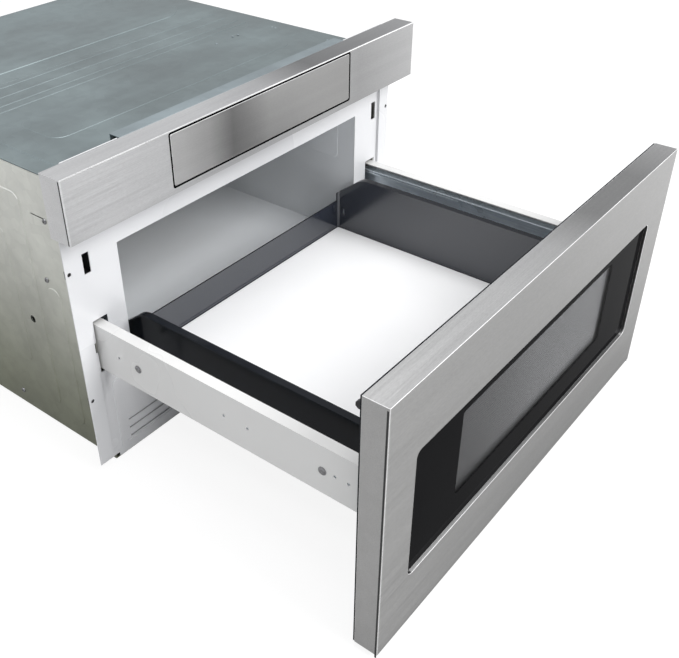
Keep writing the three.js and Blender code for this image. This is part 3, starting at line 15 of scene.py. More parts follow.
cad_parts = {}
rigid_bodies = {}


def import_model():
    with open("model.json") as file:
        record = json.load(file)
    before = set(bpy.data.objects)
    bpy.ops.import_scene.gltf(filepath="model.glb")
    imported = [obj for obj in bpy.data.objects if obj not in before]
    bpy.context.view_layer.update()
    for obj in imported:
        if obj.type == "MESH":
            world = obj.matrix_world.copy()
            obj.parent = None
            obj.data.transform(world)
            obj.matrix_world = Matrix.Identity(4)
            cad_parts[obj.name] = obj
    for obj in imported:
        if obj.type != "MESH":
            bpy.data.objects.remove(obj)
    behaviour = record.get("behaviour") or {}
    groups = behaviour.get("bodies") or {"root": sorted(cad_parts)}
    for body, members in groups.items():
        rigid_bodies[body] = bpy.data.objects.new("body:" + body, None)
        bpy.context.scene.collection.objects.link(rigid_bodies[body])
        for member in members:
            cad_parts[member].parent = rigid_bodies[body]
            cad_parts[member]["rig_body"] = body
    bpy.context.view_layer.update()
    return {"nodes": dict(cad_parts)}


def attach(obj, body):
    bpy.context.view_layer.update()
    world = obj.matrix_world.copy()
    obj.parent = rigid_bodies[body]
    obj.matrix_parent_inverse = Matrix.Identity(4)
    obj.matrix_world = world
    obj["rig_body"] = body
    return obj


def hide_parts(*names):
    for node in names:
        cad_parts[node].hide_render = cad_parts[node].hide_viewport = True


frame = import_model()
nodes = frame["nodes"]
scene = bpy.context.scene

MM = 0.001
SIDES = (("left", -1), ("right", 1))


def span(node, axis):
    """Where a CAD node begins and ends along an axis, in mm of the CAD's frame."""
    places = [corner["XYZ".index(axis)] / MM for corner in nodes[node].bound_box]
    return min(places), max(places)


FRONT_Y = span("control_panel_trim", "Y")[0]
HALF_WIDTH = span("control_panel_trim", "X")[1]
CASING_HALF = span("top_cover_front", "X")[1]
TRAVEL = FRONT_Y - span("drawer_front_skin", "Y")[0]  # how far the drawer is out


def at(x, y, z):
    """A point in metres, from mm with y counted from the control panel's front face."""
    return Vector((x, y + FRONT_Y, z)) * MM


# ------------------------------------------------------------------ node trees

# sockets of a colour mix node
FACTOR = 0
MIX_A = 6
MIX_B = 7
MIX_RESULT = 2


class Wiring:
    """The node tree of a material or of the world, built up from nothing."""

    def __init__(self, owner):
        owner.use_nodes = True
        self.tree = owner.node_tree
        self.tree.nodes.clear()

    def add(self, kind, **values):
        """A new node; each value goes to the socket of that name, or else to the setting."""
        node = self.tree.nodes.new(kind)
        for key, value in values.items():
            if key in node.inputs:
                node.inputs[key].default_value = value
            else:
                setattr(node, key, value)
        return node

    def link(self, source, socket):
        self.tree.links.new(source, socket)

    def feed(self, value, socket):
        """Gives a socket a number of its own or another node's output."""
        if isinstance(value, float):
            socket.default_value = value
        else:
            self.link(value, socket)

    def compute(self, operation, *values):
        """One step of arithmetic on numbers and outputs."""
        node = self.add("ShaderNodeMath", operation=operation)
        for socket, value in zip(node.inputs, values):
            self.feed(value, socket)
        return node.outputs[0]

    def split(self, vector):
        """The X, Y and Z outputs of a vector."""
        node = self.add("ShaderNodeSeparateXYZ")
        self.link(vector, node.inputs[0])
        return node.outputs

    def remap(self, value, low, high, start=0.3, end=0.7, curve="SMOOTHSTEP"):
        """A number that runs from low to high as value goes from start to end."""
        node = self.add("ShaderNodeMapRange", interpolation_type=curve)
        limits = (("From Min", start), ("From Max", end), ("To Min", low), ("To Max", high))
        for name, limit in limits:
            node.inputs[name].default_value = limit
        self.link(value, node.inputs["Value"])
        return node.outputs[0]


# ------------------------------------------------------------------ finishes


class Finish(Wiring):
    """A procedural material: one Principled shader with noise on colour, roughness and relief."""

    SMOOTHEST = 0.02  # the least roughness that noise may bring

    def __init__(self, name, color, roughness, metallic=0.0, sockets=None):
        self.material = bpy.data.materials.new(name)
        super().__init__(self.material)
        output = self.add("ShaderNodeOutputMaterial")
        self.shader = self.add("ShaderNodeBsdfPrincipled", Roughness=roughness, Metallic=metallic)
        self.shader.inputs["Base Color"].default_value = (*color, 1)
        for socket, value in (sockets or {}).items():
            self.shader.inputs[socket].default_value = value
        self.link(self.shader.outputs[0], output.inputs[0])
        self.coords = self.add("ShaderNodeTexCoord").outputs["Object"]
        self.color = color
        self.roughness = roughness
        self.tone = None
        self.relief = None

    def noise(self, cells, detail=3.0, rough=0.5):
        """Noise with so many cells to a metre: one number, or one for each axis."""
        mapping = self.add("ShaderNodeMapping")
        mapping.inputs["Scale"].default_value = cells if isinstance(cells, tuple) else (cells,) * 3
        self.link(self.coords, mapping.inputs["Vector"])
        texture = self.add("ShaderNodeTexNoise", Scale=1.0, Detail=detail, Roughness=rough)
        self.link(mapping.outputs[0], texture.inputs["Vector"])
        return texture.outputs["Fac"]

    def pattern(self, kind, output, **values):
        """Another texture's output, laid on the piece's own coordinates."""
        texture = self.add(kind, **values)
        self.link(self.coords, texture.inputs["Vector"])
        return texture.outputs[output]

    def vector(self, operation, value, second=None):
        """One step of vector arithmetic on an output and, where it takes one, a fixed vector."""
        node = self.add("ShaderNodeVectorMath", operation=operation)
        self.link(value, node.inputs[0])
        if second is not None:
            node.inputs[1].default_value = second
        return node.outputs["Value" if operation == "LENGTH" else "Vector"]

    def normal(self):
        return self.add("ShaderNodeNewGeometry").outputs["Normal"]

    def axis(self, name):
        return self.split(self.coords)[name]

    def mix(self, factor, **settings):
        node = self.add("ShaderNodeMix", data_type="RGBA", **settings)
        self.feed(factor, node.inputs[FACTOR])
        return node

    def multiply(self, shade):
        """The tone so far times a shade. The first shade is the tone."""
        if self.tone is None:
            self.tone = shade
        else:
            product = self.mix(1.0, blend_type="MULTIPLY")
            self.link(self.tone, product.inputs[MIX_A])
            self.link(shade, product.inputs[MIX_B])
            self.tone = product.outputs[MIX_RESULT]
        self.link(self.tone, self.shader.inputs["Base Color"])
        return self

    def tint(self, value, low, high, start=0.3, end=0.7):
        """The tone runs from low to high times itself as value goes from start to end."""
        base = self.color if self.tone is None else (1, 1, 1)
        blend = self.mix(self.remap(value, 0.0, 1.0, start, end))
        for socket, share in ((MIX_A, low), (MIX_B, high)):
            shares = share if isinstance(share, tuple) else (share,) * 3
            blend.inputs[socket].default_value = (*[b * s for b, s in zip(base, shares)], 1)
        return self.multiply(blend.outputs[MIX_RESULT])

    def shine(self, value, spread):
        """Roughness varies by spread to both sides."""
        low = max(self.SMOOTHEST, self.roughness - spread)
        varied = self.remap(value, low, self.roughness + spread)
        self.link(varied, self.shader.inputs["Roughness"])
        return self

    def bump(self, value, depth, strength):
        """Relief of a depth in mm."""
        node = self.add("ShaderNodeBump", Strength=strength, Distance=depth * MM)
        self.link(value, node.inputs["Height"])
        if self.relief is not None:
            self.link(self.relief, node.inputs["Normal"])
        self.relief = node.outputs[0]
        self.link(self.relief, self.shader.inputs["Normal"])
        return self

    def levels(self, stops):
        """A grey level along X: stops of (x in mm, level), run into each other."""
        low = stops[0][0]
        high = stops[-1][0]
        along = self.remap(self.axis("X"), 0.0, 1.0, low * MM, high * MM, curve="LINEAR")
        ramp = self.add("ShaderNodeValToRGB")
        self.link(along, ramp.inputs[0])
        elements = ramp.color_ramp.elements
        for x, _ in stops[1:-1]:
            elements.new((x - low) / (high - low))
        for element, (_, level) in zip(elements, stops):
            element.color = (level, level, level, 1)
        return ramp.outputs[0]

    def shade(self, upright, flat):
        """Painted light: the tone changes along X, in one way on upright faces and in another on
        flat ones, standing in for reflections and shade.
        """
        blend = self.mix(self.split(self.normal())["Z"])
        self.link(self.levels(upright), blend.inputs[MIX_A])
        self.link(self.levels(flat), blend.inputs[MIX_B])
        return self.multiply(blend.outputs[MIX_RESULT])


HAIRLINES = (6.0, 1100.0, 1100.0)  # cells to a metre along X, Y and Z
SPECKLES = (240.0, 900.0, 900.0)
BANDS = (0.8, 60.0, 60.0)
ACROSS = (0.0, 0.2, 1.0)  # crossed with a face's normal, it gives the run of the grain


def brushed(name, color, roughness, grain, relief=0.15):
    """Brushed stainless steel: its grain runs along X, and along Y on the end faces."""
    stretch = {"Anisotropic": 0.85, "Anisotropic Rotation": 0.25}
    finish = Finish(name, color, roughness, metallic=1.0, sockets=stretch)
    along = finish.vector("NORMALIZE", finish.vector("CROSS_PRODUCT", finish.normal(), ACROSS))
    finish.link(along, finish.shader.inputs["Tangent"])
    hair = finish.noise(HAIRLINES, detail=2.0, rough=0.6)
    speckle = finish.noise(SPECKLES, detail=2.0, rough=0.7)
    band = finish.noise(BANDS, detail=2.0)
    finish.tint(hair, 1 - grain, 1 + grain).tint(speckle, 1 - grain, 1 + grain)
    finish.tint(band, 0.98, 1.02)
    return finish.shine(hair, spread=0.03).bump(hair, depth=0.02, strength=relief)


def galvanised(name, color):
    """Zinc-coated sheet with faint crystals, clouds and streaks."""
    finish = Finish(name, color, roughness=0.42, metallic=0.85)
    crystals = finish.add("ShaderNodeSeparateColor")
    finish.link(finish.pattern("ShaderNodeTexVoronoi", "Color", Scale=90.0), crystals.inputs[0])
    cloud = finish.noise(5.0, detail=4.0, rough=0.6)
    streak = finish.noise((2.0, 40.0, 40.0), detail=2.0)
    finish.tint(cloud, 0.86, 1.1)
    finish.tint(crystals.outputs[0], 0.97, 1.03, start=0.0, end=1.0)
    finish.tint(streak, 0.96, 1.03)
    return finish.shine(cloud, spread=0.1).bump(finish.noise(30.0), depth=0.4, strength=0.25)


def paint_shade_below(finish, dark, low, high):
    """Painted shade: the tone falls to dark times itself from a height of high down to low, in
    metres.
    """
    return finish.tint(finish.axis("Z"), dark, 1.0, start=low, end=high)


def painted(name, color, roughness, peel=0.06, coat=0.25, specular=0.5):
    """Paint or enamel, with an orange peel of a depth in mm."""
    sockets = {"Coat Weight": coat, "Coat Roughness": 0.12, "Specular IOR Level": specular}
    finish = Finish(name, color, roughness, sockets=sockets)
    cloud = finish.noise(4.0)
    skin = finish.noise(700.0, detail=1.0)
    finish.tint(cloud, 0.97, 1.02)
    return finish.shine(cloud, spread=0.04).bump(skin, depth=peel, strength=0.3)


def plastic(name, color, roughness):
    """Moulded plastic with a fine grain."""
    finish = Finish(name, color, roughness)
    grain = finish.noise(1500.0, detail=2.0)
    cloud = finish.noise(20.0, detail=2.0)
    finish.tint(cloud, 0.8, 1.2)
    return finish.shine(cloud, spread=0.05).bump(grain, depth=0.05, strength=0.4)


def metal(name, color, roughness, along="Y", metallic=1.0):
    """Drawn or rolled metal, with its lines along an axis."""
    finish = Finish(name, color, roughness, metallic)
    cells = tuple(12.0 if axis == along else 700.0 for axis in "XYZ")
    drawn = finish.noise(cells, detail=2.0)
    cloud = finish.noise(25.0)
    finish.tint(drawn, 0.93, 1.05).tint(cloud, 0.94, 1.04)
    return finish.shine(cloud, spread=0.06).bump(drawn, depth=0.02, strength=0.4)


def dark_glass(name, alpha, ior):
    """Black glass with a faint haze."""
    sockets = {"IOR": ior, "Alpha": alpha}
    finish = Finish(name, (0.006, 0.006, 0.007), roughness=0.03, sockets=sockets)
    haze = finish.noise(6.0, detail=2.0)
    return finish.tint(haze, 0.9, 1.1).shine(haze, spread=0.01)


def printed(name, color, roughness):
    """Smooth black print, with little reflection of its own."""
    finish = Finish(name, color, roughness, sockets={"IOR": 1.05})
    cloud = finish.noise(9.0, detail=2.0)
    return finish.tint(cloud, 0.85, 1.15).shine(cloud, spread=0.01)


def perforated(name, color, pitch, hole_radius):
    """Upright sheet with a square grid of small round holes, sizes in mm, drawn as dark dots."""
    finish = Finish(name, color, roughness=0.45, metallic=0.3)
    cells = finish.vector("MULTIPLY", finish.coords, (1 / (pitch * MM),) * 3)
    cell = finish.vector("FRACTION", cells)
    centred = finish.vector("SUBTRACT", cell, (0.5, 0.5, 0.5))
    distance = finish.vector("LENGTH", finish.vector("MULTIPLY", centred, (1.0, 0.0, 1.0)))
    radius = hole_radius / pitch
    blur = 0.04  # of the pitch
    finish.tint(distance, 0.12, 1.0, start=radius - blur, end=radius + blur)
    return finish.tint(finish.noise(8.0), 0.95, 1.04)


def wound(name, color):
    """Enamelled wire wound in layers."""
    finish = Finish(name, color, roughness=0.35, metallic=0.9)
    turns = finish.pattern(
        "ShaderNodeTexWave", "Fac", Scale=260.0, Distortion=0.6, bands_direction="Z"
    )
    finish.tint(turns, 0.45, 1.1, start=0.1, end=0.9)
    return finish.bump(turns, depth=0.4, strength=0.8)


def stacked(name, color):
    """Thin laminations stacked along Y."""
    finish = Finish(name, color, roughness=0.5, metallic=0.7)
    sheets = finish.pattern(
        "ShaderNodeTexWave", "Fac", Scale=320.0, Distortion=0.2, bands_direction="Y"
    )
    finish.tint(sheets, 0.7, 1.15, start=0.2, end=0.8)
    return finish.bump(sheets, depth=0.2, strength=0.6)


def circuit(name, color):
    """A circuit board, mottled with small square patches."""
    finish = Finish(name, color, roughness=0.4)
    patches = finish.pattern("ShaderNodeTexVoronoi", "Distance", Scale=260.0, distance="MANHATTAN")
    finish.tint(patches, 0.7, 1.6, start=0.2, end=0.5)
    return finish.tint(finish.noise(40.0), 0.85, 1.1)


# ------------------------------------------------------------------ materials

# painted light: how light the steel is along each face, and the screen behind the window, as
# painted reflection and shade: (x in mm, level)
PANEL_FACE = (
    (-HALF_WIDTH, 1.0),
    (-302, 0.71),
    (-240, 0.76),
    (-170, 0.78),
    (0, 0.65),
    (180, 0.42),
    (240, 0.49),
    (HALF_WIDTH, 0.56),
)
PANEL_TOP = (
    (-HALF_WIDTH, 0.54),
    (-200, 0.64),
    (-100, 0.75),
    (0, 0.68),
    (90, 0.33),
    (200, 0.46),
    (HALF_WIDTH, 0.61),
)
FLAP_FACE = (
    (-160, 1.0),
    (-140, 0.98),
    (-100, 0.81),
    (-62, 0.41),
    (-30, 0.52),
    (0, 0.62),
    (40, 0.57),
    (160, 0.52),
)
FLAP_TOP = ((-160, 0.8), (0, 0.7), (160, 0.6))
FRONT_FACE = ((-HALF_WIDTH, 0.76), (-302, 0.53), (0, 0.54), (HALF_WIDTH, 0.56))
FRONT_TOP = (
    (-HALF_WIDTH, 0.87),
    (-200, 0.97),
    (-100, 1.0),
    (0, 0.9),
    (90, 0.5),
    (200, 0.5),
    (HALF_WIDTH, 0.76),
)
SCREEN_FACE = ((-174, 0.32), (-100, 0.45), (0, 0.68), (100, 0.8), (174, 0.85))

# One stainless steel in three copies: their different tones and their levels along X are painted
# reflection and shade.
steel_panel = brushed("stainless_panel", (0.81, 0.81, 0.814), 0.44, grain=0.04)
steel_panel.shade(PANEL_FACE, PANEL_TOP)
steel_flap = brushed("stainless_flap", (0.6, 0.596, 0.59), 0.4, grain=0.025, relief=0.06)
steel_flap.shade(FLAP_FACE, FLAP_TOP)
steel_front = brushed("stainless_front", (0.69, 0.686, 0.68), 0.42, grain=0.05)
steel_front.shade(FRONT_FACE, FRONT_TOP)
# Painted highlight, partly burnished steel: near-white edge faces and strips that stand in for the
# light caught along the steel's bends.
edge_polish_and_highlight = metal("edge_polish_and_highlight", (1.0, 1.0, 1.0), 0.3, "X", metallic=0.5)

zinc_top = galvanised("galvanised_top", (0.24, 0.284, 0.291))
zinc_strip = galvanised("galvanised_strip", (0.3, 0.35, 0.37))
zinc_side = galvanised("galvanised_side", (0.84, 0.85, 0.8))
# painted shade: the side sheets darker towards the floor
paint_shade_below(zinc_side, (0.34, 0.35, 0.29), low=0.02, high=0.36)

white = painted("white_paint", (0.78, 0.785, 0.8), 0.28)
# A warmer, darker copy of the white paint: its warmth is the channels' own, its darkness partly
# painted shade on their outer faces.
channel_white_and_shade = painted("channel_paint_and_shade", (0.72, 0.72, 0.712), 0.28)
cavity_grey = painted("cavity_enamel", (0.78, 0.8, 0.82), 0.35)
ceramic = painted("white_ceramic", (0.98, 0.98, 0.985), 0.3, peel=0.03, coat=0.0)
# The blue in this black is partly a painted reflection: the bluish sheen of the tray's inner
# walls.
enamel = painted(
    "black_enamel", (0.02, 0.024, 0.035), 0.16, peel=0.1, coat=0.08, specular=0.95
)
# Also painted shade: on the tray's hems and the outside of its left wall this darker, less glossy
# copy stands in for shade; on the drawer's inner panel it is that panel's own finish.
dull_enamel_and_shade = painted(
    "dull_black_enamel_and_shade", (0.008, 0.0095, 0.013), 0.16, peel=0.1, coat=0.08, specular=0.12
)

black = plastic("black_plastic", (0.012, 0.012, 0.013), 0.42)
mica = plastic("mica_sheet", (0.55, 0.5, 0.4), 0.55)
nylon = plastic("white_nylon", (0.72, 0.7, 0.6), 0.4)
white_print = plastic("white_print", (0.75, 0.76, 0.78), 0.5)
ink = printed("black_print", (0.004, 0.004, 0.0045), 0.04)
deep_black = printed("deep_black", (0.003, 0.003, 0.003), 0.8)

glass = dark_glass("window_glass", alpha=0.26, ior=1.15)
touch = dark_glass("touch_glass", alpha=1.0, ior=1.14)
screen = perforated("window_screen", (0.9, 0.91, 0.93), pitch=2.2, hole_radius=0.7)
# painted shade on the screen behind the window, darker to the left
screen.shade(SCREEN_FACE, SCREEN_FACE)

zinc = metal("bright_zinc", (0.84, 0.92, 0.98), 0.32, metallic=0.3)
aluminium = metal("aluminium_sheet", (0.6, 0.61, 0.62), 0.32, "X")
plated = metal("plated_steel", (0.5, 0.5, 0.51), 0.35, "Z")
screw_steel = metal("screw_steel", (0.3, 0.3, 0.31), 0.25, "Z")
copper = wound("copper_winding", (0.5, 0.22, 0.09))
laminations = stacked("core_laminations", (0.12, 0.12, 0.125))
board = circuit("circuit_board", (0.008, 0.035, 0.018))


# ------------------------------------------------------------------ CAD pieces

WELD = 0.002  # mm between corners that count as one
FLAT_ANGLE = 0.6  # degrees between faces that count as one
EDGE_ANGLE = 30  # degrees from which an edge is rounded
ROUND_STEPS = 2
NO_SLOT = -1


def paint(obj, finish):
    """Makes a finish the object's only material."""
    obj.data.materials.clear()
    obj.data.materials.append(finish.material)


def settle(piece, finish, body):
    """Gives a new piece its material and the body that it rides on."""
    paint(piece, finish)
    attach(piece, body)


def new_object(name, data):
    obj = bpy.data.objects.new(name, data)
    scene.collection.objects.link(obj)
    return obj


def from_bmesh(name, bm):
    mesh = bpy.data.meshes.new(name)
    bm.to_mesh(mesh)
    bm.free()
    return new_object(name, mesh)


def evaluated_mesh(obj):
    """A mesh of its own with the object's modifiers, or its text, worked in."""
    graph = bpy.context.evaluated_depsgraph_get()
    return bpy.data.meshes.new_from_object(obj.evaluated_get(graph))


def apply_modifiers(obj):
    mesh = evaluated_mesh(obj)
    old = obj.data
    obj.modifiers.clear()
    obj.data = mesh
    bpy.data.meshes.remove(old)


def soften(obj, radius, edge_slot):
    """Rounds the sharp edges, which may take a material slot of their own, by a radius in mm."""
    bm = bmesh.new()
    bm.from_mesh(obj.data)
    bmesh.ops.remove_doubles(bm, verts=bm.verts, dist=WELD * MM)
    flat = math.radians(FLAT_ANGLE)
    bmesh.ops.dissolve_limit(bm, angle_limit=flat, verts=bm.verts, edges=bm.edges)
    bm.to_mesh(obj.data)
    bm.free()
    obj.data.shade_smooth()
    bevel = obj.modifiers.new("edge", "BEVEL")
    bevel.width = radius * MM
    bevel.segments = ROUND_STEPS
    bevel.limit_method = "ANGLE"
    bevel.angle_limit = math.radians(EDGE_ANGLE)
    bevel.use_clamp_overlap = True
    bevel.material = edge_slot
    normals = obj.modifiers.new("normals", "WEIGHTED_NORMAL")
    normals.keep_sharp = False
    normals.weight = 100  # the large faces are shaded flat
    apply_modifiers(obj)


def formed(node, finish, radius, edge=None):
    """The CAD node's own shape with softened edges, standing for that node."""
    copy = new_object(node + "_formed", nodes[node].data.copy())
    paint(copy, finish)
    edge_slot = NO_SLOT
    if edge:
        edge_slot = len(copy.data.materials)
        copy.data.materials.append(edge.material)
    soften(copy, radius, edge_slot)
    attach(copy, nodes[node]["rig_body"])
    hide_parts(node)
    return copy


def both(name):
    return "left_" + name, "right_" + name


# nodes whose rounded bends take a near-white edge finish, a painted highlight that is partly
# burnished steel: (node, finish, edge radius in mm)
BENT = (
    ("control_panel_trim", steel_panel, 1.0),
    ("control_flap", steel_flap, 0.35),
    ("drawer_front_skin", steel_front, 1.1),
)

# nodes with softened edges: (nodes, finish, edge radius in mm)
FORMED = (
    (("front_frame",), white, 0.3),
    (both("side_panel"), zinc_side, 0.25),
    (("top_cover_front", "top_cover_rear"), zinc_top, 0.25),
    (("panel_top_bracket",), zinc_strip, 0.3),
    (("drawer_tray",), enamel, 0.6),
    (("ceramic_base_plate",), ceramic, 1.0),
    (both("drawer_channel"), channel_white_and_shade, 0.35),
    (both("drawer_slide_member"), zinc, 0.2),
    (both("intermediate_slide_member"), zinc, 0.2),
    (both("cabinet_slide_member"), zinc, 0.2),
    (both("latch_hook"), black, 0.5),
    (("outer_window_glass",), glass, 0.4),
    (("choke_cover",), black, 0.5),
    (("cavity_wrapper", "cavity_ceiling"), cavity_grey, 0.4),
    (("base_pan", "back_panel"), zinc_side, 0.25),
)

# nodes that keep their own mesh: (nodes, finish)
CARRIED = (
    (("cord_gland", "control_housing", "drawer_front_core"), black),
    (("cooling_fan_frame", "cooling_fan_impeller"), black),
    (both("latch_receiver"), black),
    (("flap_carrier",), deep_black),
    (("cavity_back_wall",), cavity_grey),
    (("drawer_inner_panel",), dull_enamel_and_shade),
    (("inner_window_glass",), glass),
    (("touch_control_glass",), touch),
    (("window_screen",), screen),
    (("control_board",), board),
    (both("rail_bracket"), zinc_side),
    (("drive_motor_bracket",), zinc_side),
    (("drive_motor", "stirrer_motor"), plated),
    (("drive_pinion", "drive_rack"), nylon),
    (("waveguide", "magnetron", "stirrer", "high_voltage_capacitor"), aluminium),
    (("stirrer_cover",), mica),
    (("transformer_core",), laminations),
    (("transformer_coil",), copper),
)

HEM_BASE = 0.14  # metres; the tray's faces that look up from above this are its hems
TRAY_SIDE = 0.19  # metres from the middle; the tray's wall lies beyond this


def paint_shade_on_hems(tray):
    """Painted shade: the tray's hems and the outside of its left wall take the darker, less glossy
    enamel, which stands in for the shade and weaker reflection there.
    """
    shade_slot = len(tray.data.materials)
    tray.data.materials.append(dull_enamel_and_shade.material)
    for face in tray.data.polygons:
        hem = face.normal.z > 0.5 and face.center.z > HEM_BASE
        left_outside = face.normal.x < -0.5 and face.center.x < -TRAY_SIDE
        if hem or left_outside:
            face.material_index = shade_slot


for name, finish, radius in BENT:
    formed(name, finish, radius, edge_polish_and_highlight)
for names, finish, radius in FORMED:
    for name in names:
        copy = formed(name, finish, radius)
        if name == "drawer_tray":
            # painted shade on the tray's hems and left outer wall
            paint_shade_on_hems(copy)
for names, finish in CARRIED:
    for name in names:
        paint(nodes[name], finish)


# ------------------------------------------------------------------ screws and rivets

SUNK = 0.3  # how far a head reaches into its sheet
HEX_RADIUS = 3.6
HEX_HEIGHT = 1.25
HEX_SIDES = 6
DOME_RADIUS = 3.4
DOME_HEIGHT = 1.8
RIVET_SIDES = 16
ROUND_SIDES = 24
SHARP_ANGLE = 35  # degrees from which a turned edge looks sharp

CHANNEL_SCREWS = (-30.8, -286.0)  # y of each
CHANNEL_SCREW_DROP = 1.0  # below the channel's middle
PANEL_SCREWS = ((88, 316), (106, 235), (212, 22), (540, 330), (540, 60))  # y and z of each
TOP_RIVETS = (  # x and y of each
    (177.2, 219.5),
    (187.4, 218.3),
    (140.2, 215.7),
    (242.4, 201.6),
    (242.5, 195.3),
    (244.5, 102.4),
    (245.1, 96.6),
)


def turned(name, profile, origin, axis, sides=ROUND_SIDES):
    """A turned piece: profile points (radius, height in mm) run along axis from origin."""
    bm = bmesh.new()
    rings = []
    for radius, height in profile:
        ring = []
        for k in range(sides if radius else 1):
            angle = 2 * math.pi * k / sides
            point = Vector((radius * math.cos(angle), radius * math.sin(angle), height))
            ring.append(bm.verts.new(point * MM))
        rings.append(ring)
    for low, high in zip(rings, rings[1:]):
        for k in range(sides):
            n = (k + 1) % sides
            if len(low) == 1:
                bm.faces.new((low[0], high[k], high[n]))
            elif len(high) == 1:
                bm.faces.new((low[k], low[n], high[0]))
            else:
                bm.faces.new((low[k], low[n], high[n], high[k]))
    bmesh.ops.recalc_face_normals(bm, faces=bm.faces)
    obj = from_bmesh(name, bm)
    turn = Vector((0, 0, 1)).rotation_difference(Vector(axis)).to_matrix().to_4x4()
    obj.data.transform(Matrix.Translation(origin) @ turn)
    obj.data.shade_smooth()
    obj.data.set_sharp_from_angle(angle=math.radians(SHARP_ANGLE))
    return obj


def hex_screw(name, origin, axis, body):
    """A flat hexagon-head screw with its washer, seated on origin."""
    washer_profile = (
        (0, -SUNK),
        (HEX_RADIUS * 1.35, -SUNK),
        (HEX_RADIUS * 1.35, 0.5),
        (HEX_RADIUS * 1.25, 0.7),
        (HEX_RADIUS * 0.9, 0.75),
        (0, 0.75),
    )
    head_profile = (
        (0, 0.6),
        (HEX_RADIUS, 0.6),
        (HEX_RADIUS, HEX_HEIGHT - 0.5),
        (HEX_RADIUS * 0.86, HEX_HEIGHT),
        (HEX_RADIUS * 0.4, HEX_HEIGHT - 0.25),
        (0, HEX_HEIGHT - 0.5),
    )
    washer = turned(name, washer_profile, origin, axis)
    head = turned(name + "_head", head_profile, origin, axis, HEX_SIDES)
    head.data.shade_flat()
    for piece in (washer, head):
        settle(piece, screw_steel, body)


def dome_screw(name, origin, axis, body):
    """A dome-head screw with a recess, seated on origin."""
    profile = (
        (0, -SUNK),
        (DOME_RADIUS, -SUNK),
        (DOME_RADIUS, DOME_HEIGHT * 0.25),
        (DOME_RADIUS * 0.85, DOME_HEIGHT * 0.7),
        (DOME_RADIUS * 0.5, DOME_HEIGHT * 0.95),
        (DOME_RADIUS * 0.3, DOME_HEIGHT),
        (DOME_RADIUS * 0.26, DOME_HEIGHT * 0.4),
        (0, DOME_HEIGHT * 0.35),
    )
    settle(turned(name, profile, origin, axis), screw_steel, body)


def channel_screws(side, sign):
    """Screws on the outer face of a drawer channel."""
    face = span("right_drawer_channel", "X")[1]
    height = sum(span("right_drawer_channel", "Z")) / 2 - CHANNEL_SCREW_DROP
    for index, y in enumerate(CHANNEL_SCREWS):
        name = f"{side}_channel_screw_{index}"
        hex_screw(name, at(sign * face, y, height), (sign, 0, 0), "drawer")


def panel_screws(side, sign):
    """Screws round the margin of a side panel."""
    for index, (y, z) in enumerate(PANEL_SCREWS):
        name = f"{side}_panel_screw_{index}"
        dome_screw(name, at(sign * CASING_HALF, y, z), (sign, 0, 0), "casing")


def top_rivets():
    """Small heads on the top cover."""
    profile = ((0, -0.2), (1.7, -0.2), (1.7, 0.1), (1.1, 0.5), (0, 0.6))
    face = span("top_cover_rear", "Z")[1]
    for index, (x, y) in enumerate(TOP_RIVETS):
        rivet = turned(f"top_rivet_{index}", profile, at(x, y, face), (0, 0, 1), RIVET_SIDES)
        settle(rivet, zinc_strip, "casing")


# ------------------------------------------------------------------ seams, clips and gaskets

PROUD = 0.08  # how far a line on a face stands out of it
SEAM_X = (HALF_WIDTH - 0.3, HALF_WIDTH + 0.06)
FRONT_SEAM_Y = (0.9 - TRAVEL, 2.9 - TRAVEL)
FRONT_SEAM_Z = (3, 320)
PANEL_SEAM_Y = (0.9, 2.6)
PANEL_SEAM_Z = (332, 402)
# painted shadow in each rail notch
NOTCH_SHADOW_X = (CASING_HALF + 0.5, CASING_HALF + 5.5)
NOTCH_SHADOW_Y = (36, 40)
NOTCH_SHADOW_Z = (160, 184)
FLANGE_HOLES = (280.7, 109.3)  # z of each
# painted shadow behind each flange hole
FLANGE_SHADOW_X = (285.5, 293.7)
FLANGE_SHADOW_Y = (32.2, 34)
FLANGE_SHADOW_HALF = 5
TRAY_CLIP_X = (215.6, 217.3)
TRAY_CLIP_Y = (41.6, 46.5)
TRAY_CLIP_Z = (131.4, 144.0)
BRIGHT_EDGE_INSET = 0.2
BRIGHT_EDGE_BACK = 1.0
BRIGHT_EDGE_HEIGHT = 0.9


def slab(name, x, y, z, body, finish, slot):
    """A small block between two values on each axis."""
    bm = bmesh.new()
    bmesh.ops.create_cube(bm, size=1.0)
    size = [(high - low) * MM for low, high in (x, y, z)]
    centre = at(*[(low + high) / 2 for low, high in (x, y, z)])
    place = Matrix.Translation(centre) @ Matrix.Diagonal((*size, 1))
    bmesh.ops.transform(bm, matrix=place, verts=bm.verts)
    settle(from_bmesh(name, bm), finish, body)


def on_side(sign, stretch):
    """The stretch of X between two distances from the middle, on one side."""
    return sorted(sign * distance for distance in stretch)


def corner_seams(side, sign):
    """Folded corners show as a thin dark seam on the end faces."""
    x = on_side(sign, SEAM_X)
    drawer_seam = (f"{side}_front_seam", x, FRONT_SEAM_Y, FRONT_SEAM_Z, "drawer")
    casing_seam = (f"{side}_panel_seam", x, PANEL_SEAM_Y, PANEL_SEAM_Z, "casing")
    for seam in (drawer_seam, casing_seam):
        slab(*seam, black, "black_plastic")


def rail_notch_shadow(side, sign):
    """Painted shadow: a black block lines each rail notch of the front frame, where the notch lies
    in shade.
    """
    x = on_side(sign, NOTCH_SHADOW_X)
    slab(f"{side}_rail_notch_shadow", x, NOTCH_SHADOW_Y, NOTCH_SHADOW_Z, "casing", black, "black_plastic")


